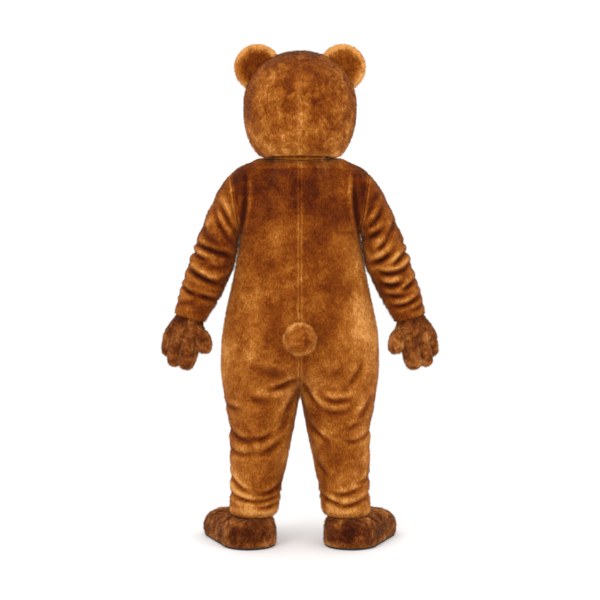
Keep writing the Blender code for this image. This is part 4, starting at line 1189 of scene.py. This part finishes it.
def pile_tree():
    """Scatters tufts over a surface where its pile mark is above 0, each with the marks of its place."""
    tree = bpy.data.node_groups.new("plush pile", "GeometryNodeTree")
    for name, kind in (("Surface", "NodeSocketGeometry"), ("Tuft", "NodeSocketObject"),
                       ("Tufts per square metre", "NodeSocketFloat"), ("Length", "NodeSocketFloat"),
                       ("Laid", "NodeSocketFloat"), ("Plush", "NodeSocketMaterial")):
        tree.interface.new_socket(name, in_out="INPUT", socket_type=kind)
    tree.interface.new_socket("Pile", in_out="OUTPUT", socket_type="NodeSocketGeometry")
    given = tree.nodes.new("NodeGroupInput").outputs
    grows = add_node(tree, "GeometryNodeInputNamedAttribute", {"Name": "pile"}, data_type="FLOAT")
    count = add_node(tree, "ShaderNodeMath", {0: grows, 1: given["Tufts per square metre"]},
                     operation="MULTIPLY")
    roots = add_node(tree, "GeometryNodeDistributePointsOnFaces",
                     {"Mesh": given["Surface"], "Density": count, "Seed": PILE_SEED}, out="Points")
    # each tuft takes the tone of its place, a little paler or darker
    tone = add_node(tree, "GeometryNodeInputNamedAttribute", {"Name": "tone"}, data_type="FLOAT")
    change = add_node(tree, "FunctionNodeRandomValue",
                      {2: TONE_CHANGES[0], 3: TONE_CHANGES[1], 8: PILE_SEED + 1}, out=1, data_type="FLOAT")
    mixed = add_node(tree, "ShaderNodeMath", {0: tone, 1: change}, operation="ADD")
    toned = add_node(tree, "GeometryNodeStoreNamedAttribute",
                     {"Geometry": roots, "Name": "tone", "Value": mixed}, data_type="FLOAT")
    # it leans down from the cloth's normal, and strays to any side
    stray = add_node(tree, "FunctionNodeRandomValue", {0: [-PILE_STRAYS] * 3, 1: [PILE_STRAYS] * 3,
                                                       8: PILE_SEED + 2}, data_type="FLOAT_VECTOR")
    down = add_node(tree, "ShaderNodeMath", {0: given["Laid"], 1: -1.0}, operation="MULTIPLY")
    fall = add_node(tree, "ShaderNodeCombineXYZ", {"Z": down})
    lean = add_node(tree, "ShaderNodeVectorMath", {0: roots.node.outputs["Normal"], 1: fall}, operation="ADD")
    lean = add_node(tree, "ShaderNodeVectorMath", {0: lean, 1: stray}, operation="ADD")
    spin = add_node(tree, "FunctionNodeRandomValue", {0: (0, 0, 0), 1: [math.tau] * 3, 8: PILE_SEED + 3},
                    data_type="FLOAT_VECTOR")
    turned = add_node(tree, "FunctionNodeAlignRotationToVector", {"Rotation": spin, "Vector": lean}, axis="Z")
    size = add_node(tree, "FunctionNodeRandomValue", {2: TUFT_SIZES[0], 3: TUFT_SIZES[1], 8: PILE_SEED + 4},
                    out=1, data_type="FLOAT")
    size = add_node(tree, "ShaderNodeMath", {0: size, 1: given["Length"]}, operation="MULTIPLY")
    tuft = add_node(tree, "GeometryNodeObjectInfo", {"Object": given["Tuft"]}, out="Geometry")
    placed = add_node(tree, "GeometryNodeInstanceOnPoints",
                      {"Points": toned, "Instance": tuft, "Rotation": turned, "Scale": size})
    real = add_node(tree, "GeometryNodeRealizeInstances", {"Geometry": placed})
    done = add_node(tree, "GeometryNodeSetMaterial", {"Geometry": real, "Material": given["Plush"]})
    tree.links.new(done, tree.nodes.new("NodeGroupOutput").inputs["Pile"])
    return tree


def joined(pieces):
    """The pieces' meshes as one object, with their marks."""
    points, faces, marks = [], [], {mark: [] for mark in MARKS}
    for piece in pieces:
        faces += [[i + len(points) for i in face.vertices] for face in piece.data.polygons]
        points += [v.co.copy() for v in piece.data.vertices]
        for mark in MARKS:
            marks[mark] += [value.value for value in piece.data.attributes[mark].data]
    marks = {mark: np.array(values) for mark, values in marks.items()}
    return add_piece("pile ground", points, faces, pieces[0].data.materials[0], **marks)


# One tuft is two blades on a bent root, 1 long, its tip a little forward
root = [(-PILE_WIDTH / 2, 0, 0), (0, PILE_WIDTH / 3, 0), (PILE_WIDTH / 2, 0, 0)]
tuft = add_piece("tuft", [*root, (0, -0.2, 1)], [(0, 3, 1), (1, 3, 2)], brown_plush)
for mark in MARKS:
    tuft.data.attributes.remove(tuft.data.attributes[mark])
scattering = pile_tree()
sockets = {item.name: item.identifier for item in scattering.interface.items_tree}
plush_pieces = [piece for piece in bpy.context.scene.objects if piece.name.endswith("_plush")]
on_head = [piece for piece in plush_pieces if piece.name.startswith(("head", "ear", "muzzle"))]
on_ends = [piece for piece in plush_pieces if piece.name.startswith(("boot", "glove"))]
under_head = [piece for piece in plush_pieces if piece.name.startswith("neck")]
on_suit = [piece for piece in plush_pieces if piece not in on_head + on_ends + under_head]
for name, grown_on, body, slot in (("suit_pile", on_suit, "suit", "plush"),
                                   ("head_pile", on_head, "head", "plush"),
                                   ("glove_and_boot_pile", on_ends, "suit", "dark_plush")):
    ground = joined(grown_on)
    look = ground.data.materials[0]
    growing = ground.modifiers.new("pile", "NODES")
    growing.node_group = scattering
    for socket, value in (("Tuft", tuft), ("Tufts per square metre", PILE_COUNT), ("Length", PILE_LENGTH),
                          ("Laid", PILE_LAID), ("Plush", look)):
        growing[sockets[socket]] = value
    grown = bpy.data.meshes.new_from_object(ground.evaluated_get(bpy.context.evaluated_depsgraph_get()))
    bpy.data.objects.remove(ground)
    grown.name = name
    pile = bpy.data.objects.new(name, grown)
    bpy.context.scene.collection.objects.link(pile)
    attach(pile, body)
bpy.data.objects.remove(tuft)

# ------------------------------------------------------------------------------------------------
# The studio. A white floor, soft light from all round and two large lamps, and the camera behind.

FLOOR_REACH = 30
WORLD_LIGHT = 1.12
KEY_WATTS = 70
FILL_WATTS = 35
CAMERA_AT = (0, 5.0, -0.29)
CAMERA_DOWN = 2.65  # degrees below level
CAMERA_LENS = 79.2

floor_mesh = bpy.data.meshes.new("floor")
corners = [(-FLOOR_REACH, -FLOOR_REACH, 0), (FLOOR_REACH, -FLOOR_REACH, 0), (FLOOR_REACH, FLOOR_REACH, 0),
           (-FLOOR_REACH, FLOOR_REACH, 0)]
floor_mesh.from_pydata(corners, [], [(0, 1, 2, 3)])
floor = bpy.data.objects.new("floor", floor_mesh)
floor.location = (0, 0, -HELD - 0.0005)
bpy.context.scene.collection.objects.link(floor)
paper = bpy.data.materials.new("white paper")
paper.use_nodes = True
set_evenly(paper.node_tree.nodes["Principled BSDF"], {"Base Color": linear("#FBFBFB"), "Roughness": 0.9})
floor_mesh.materials.append(paper)

world = bpy.data.worlds.new("studio")
bpy.context.scene.world = world
world.use_nodes = True
set_evenly(world.node_tree.nodes["Background"], {"Color": (1, 1, 1, 1), "Strength": WORLD_LIGHT})
bpy.context.scene.view_settings.view_transform = "Standard"


def add_lamp(name, place, aim, size, power):
    lamp = bpy.data.lights.new(name, "AREA")
    lamp.size = size
    lamp.energy = power
    made = bpy.data.objects.new(name, lamp)
    made.location = place
    made.rotation_euler = (Vector(aim) - Vector(place)).to_track_quat("-Z", "Y").to_euler()
    bpy.context.scene.collection.objects.link(made)


add_lamp("key", (2.6, 3.6, 2.4), (0, 0, -0.5), 2.2, KEY_WATTS)
add_lamp("fill", (-3.4, 2.8, 1.4), (0, 0, -0.6), 2.5, FILL_WATTS)

camera = bpy.data.cameras.new("camera")
camera.sensor_width = 36
camera.lens = CAMERA_LENS
camera_object = bpy.data.objects.new("camera", camera)
camera_object.location = CAMERA_AT
camera_object.rotation_euler = (math.radians(90 - CAMERA_DOWN), 0, math.radians(180))
bpy.context.scene.collection.objects.link(camera_object)
bpy.context.scene.camera = camera_object
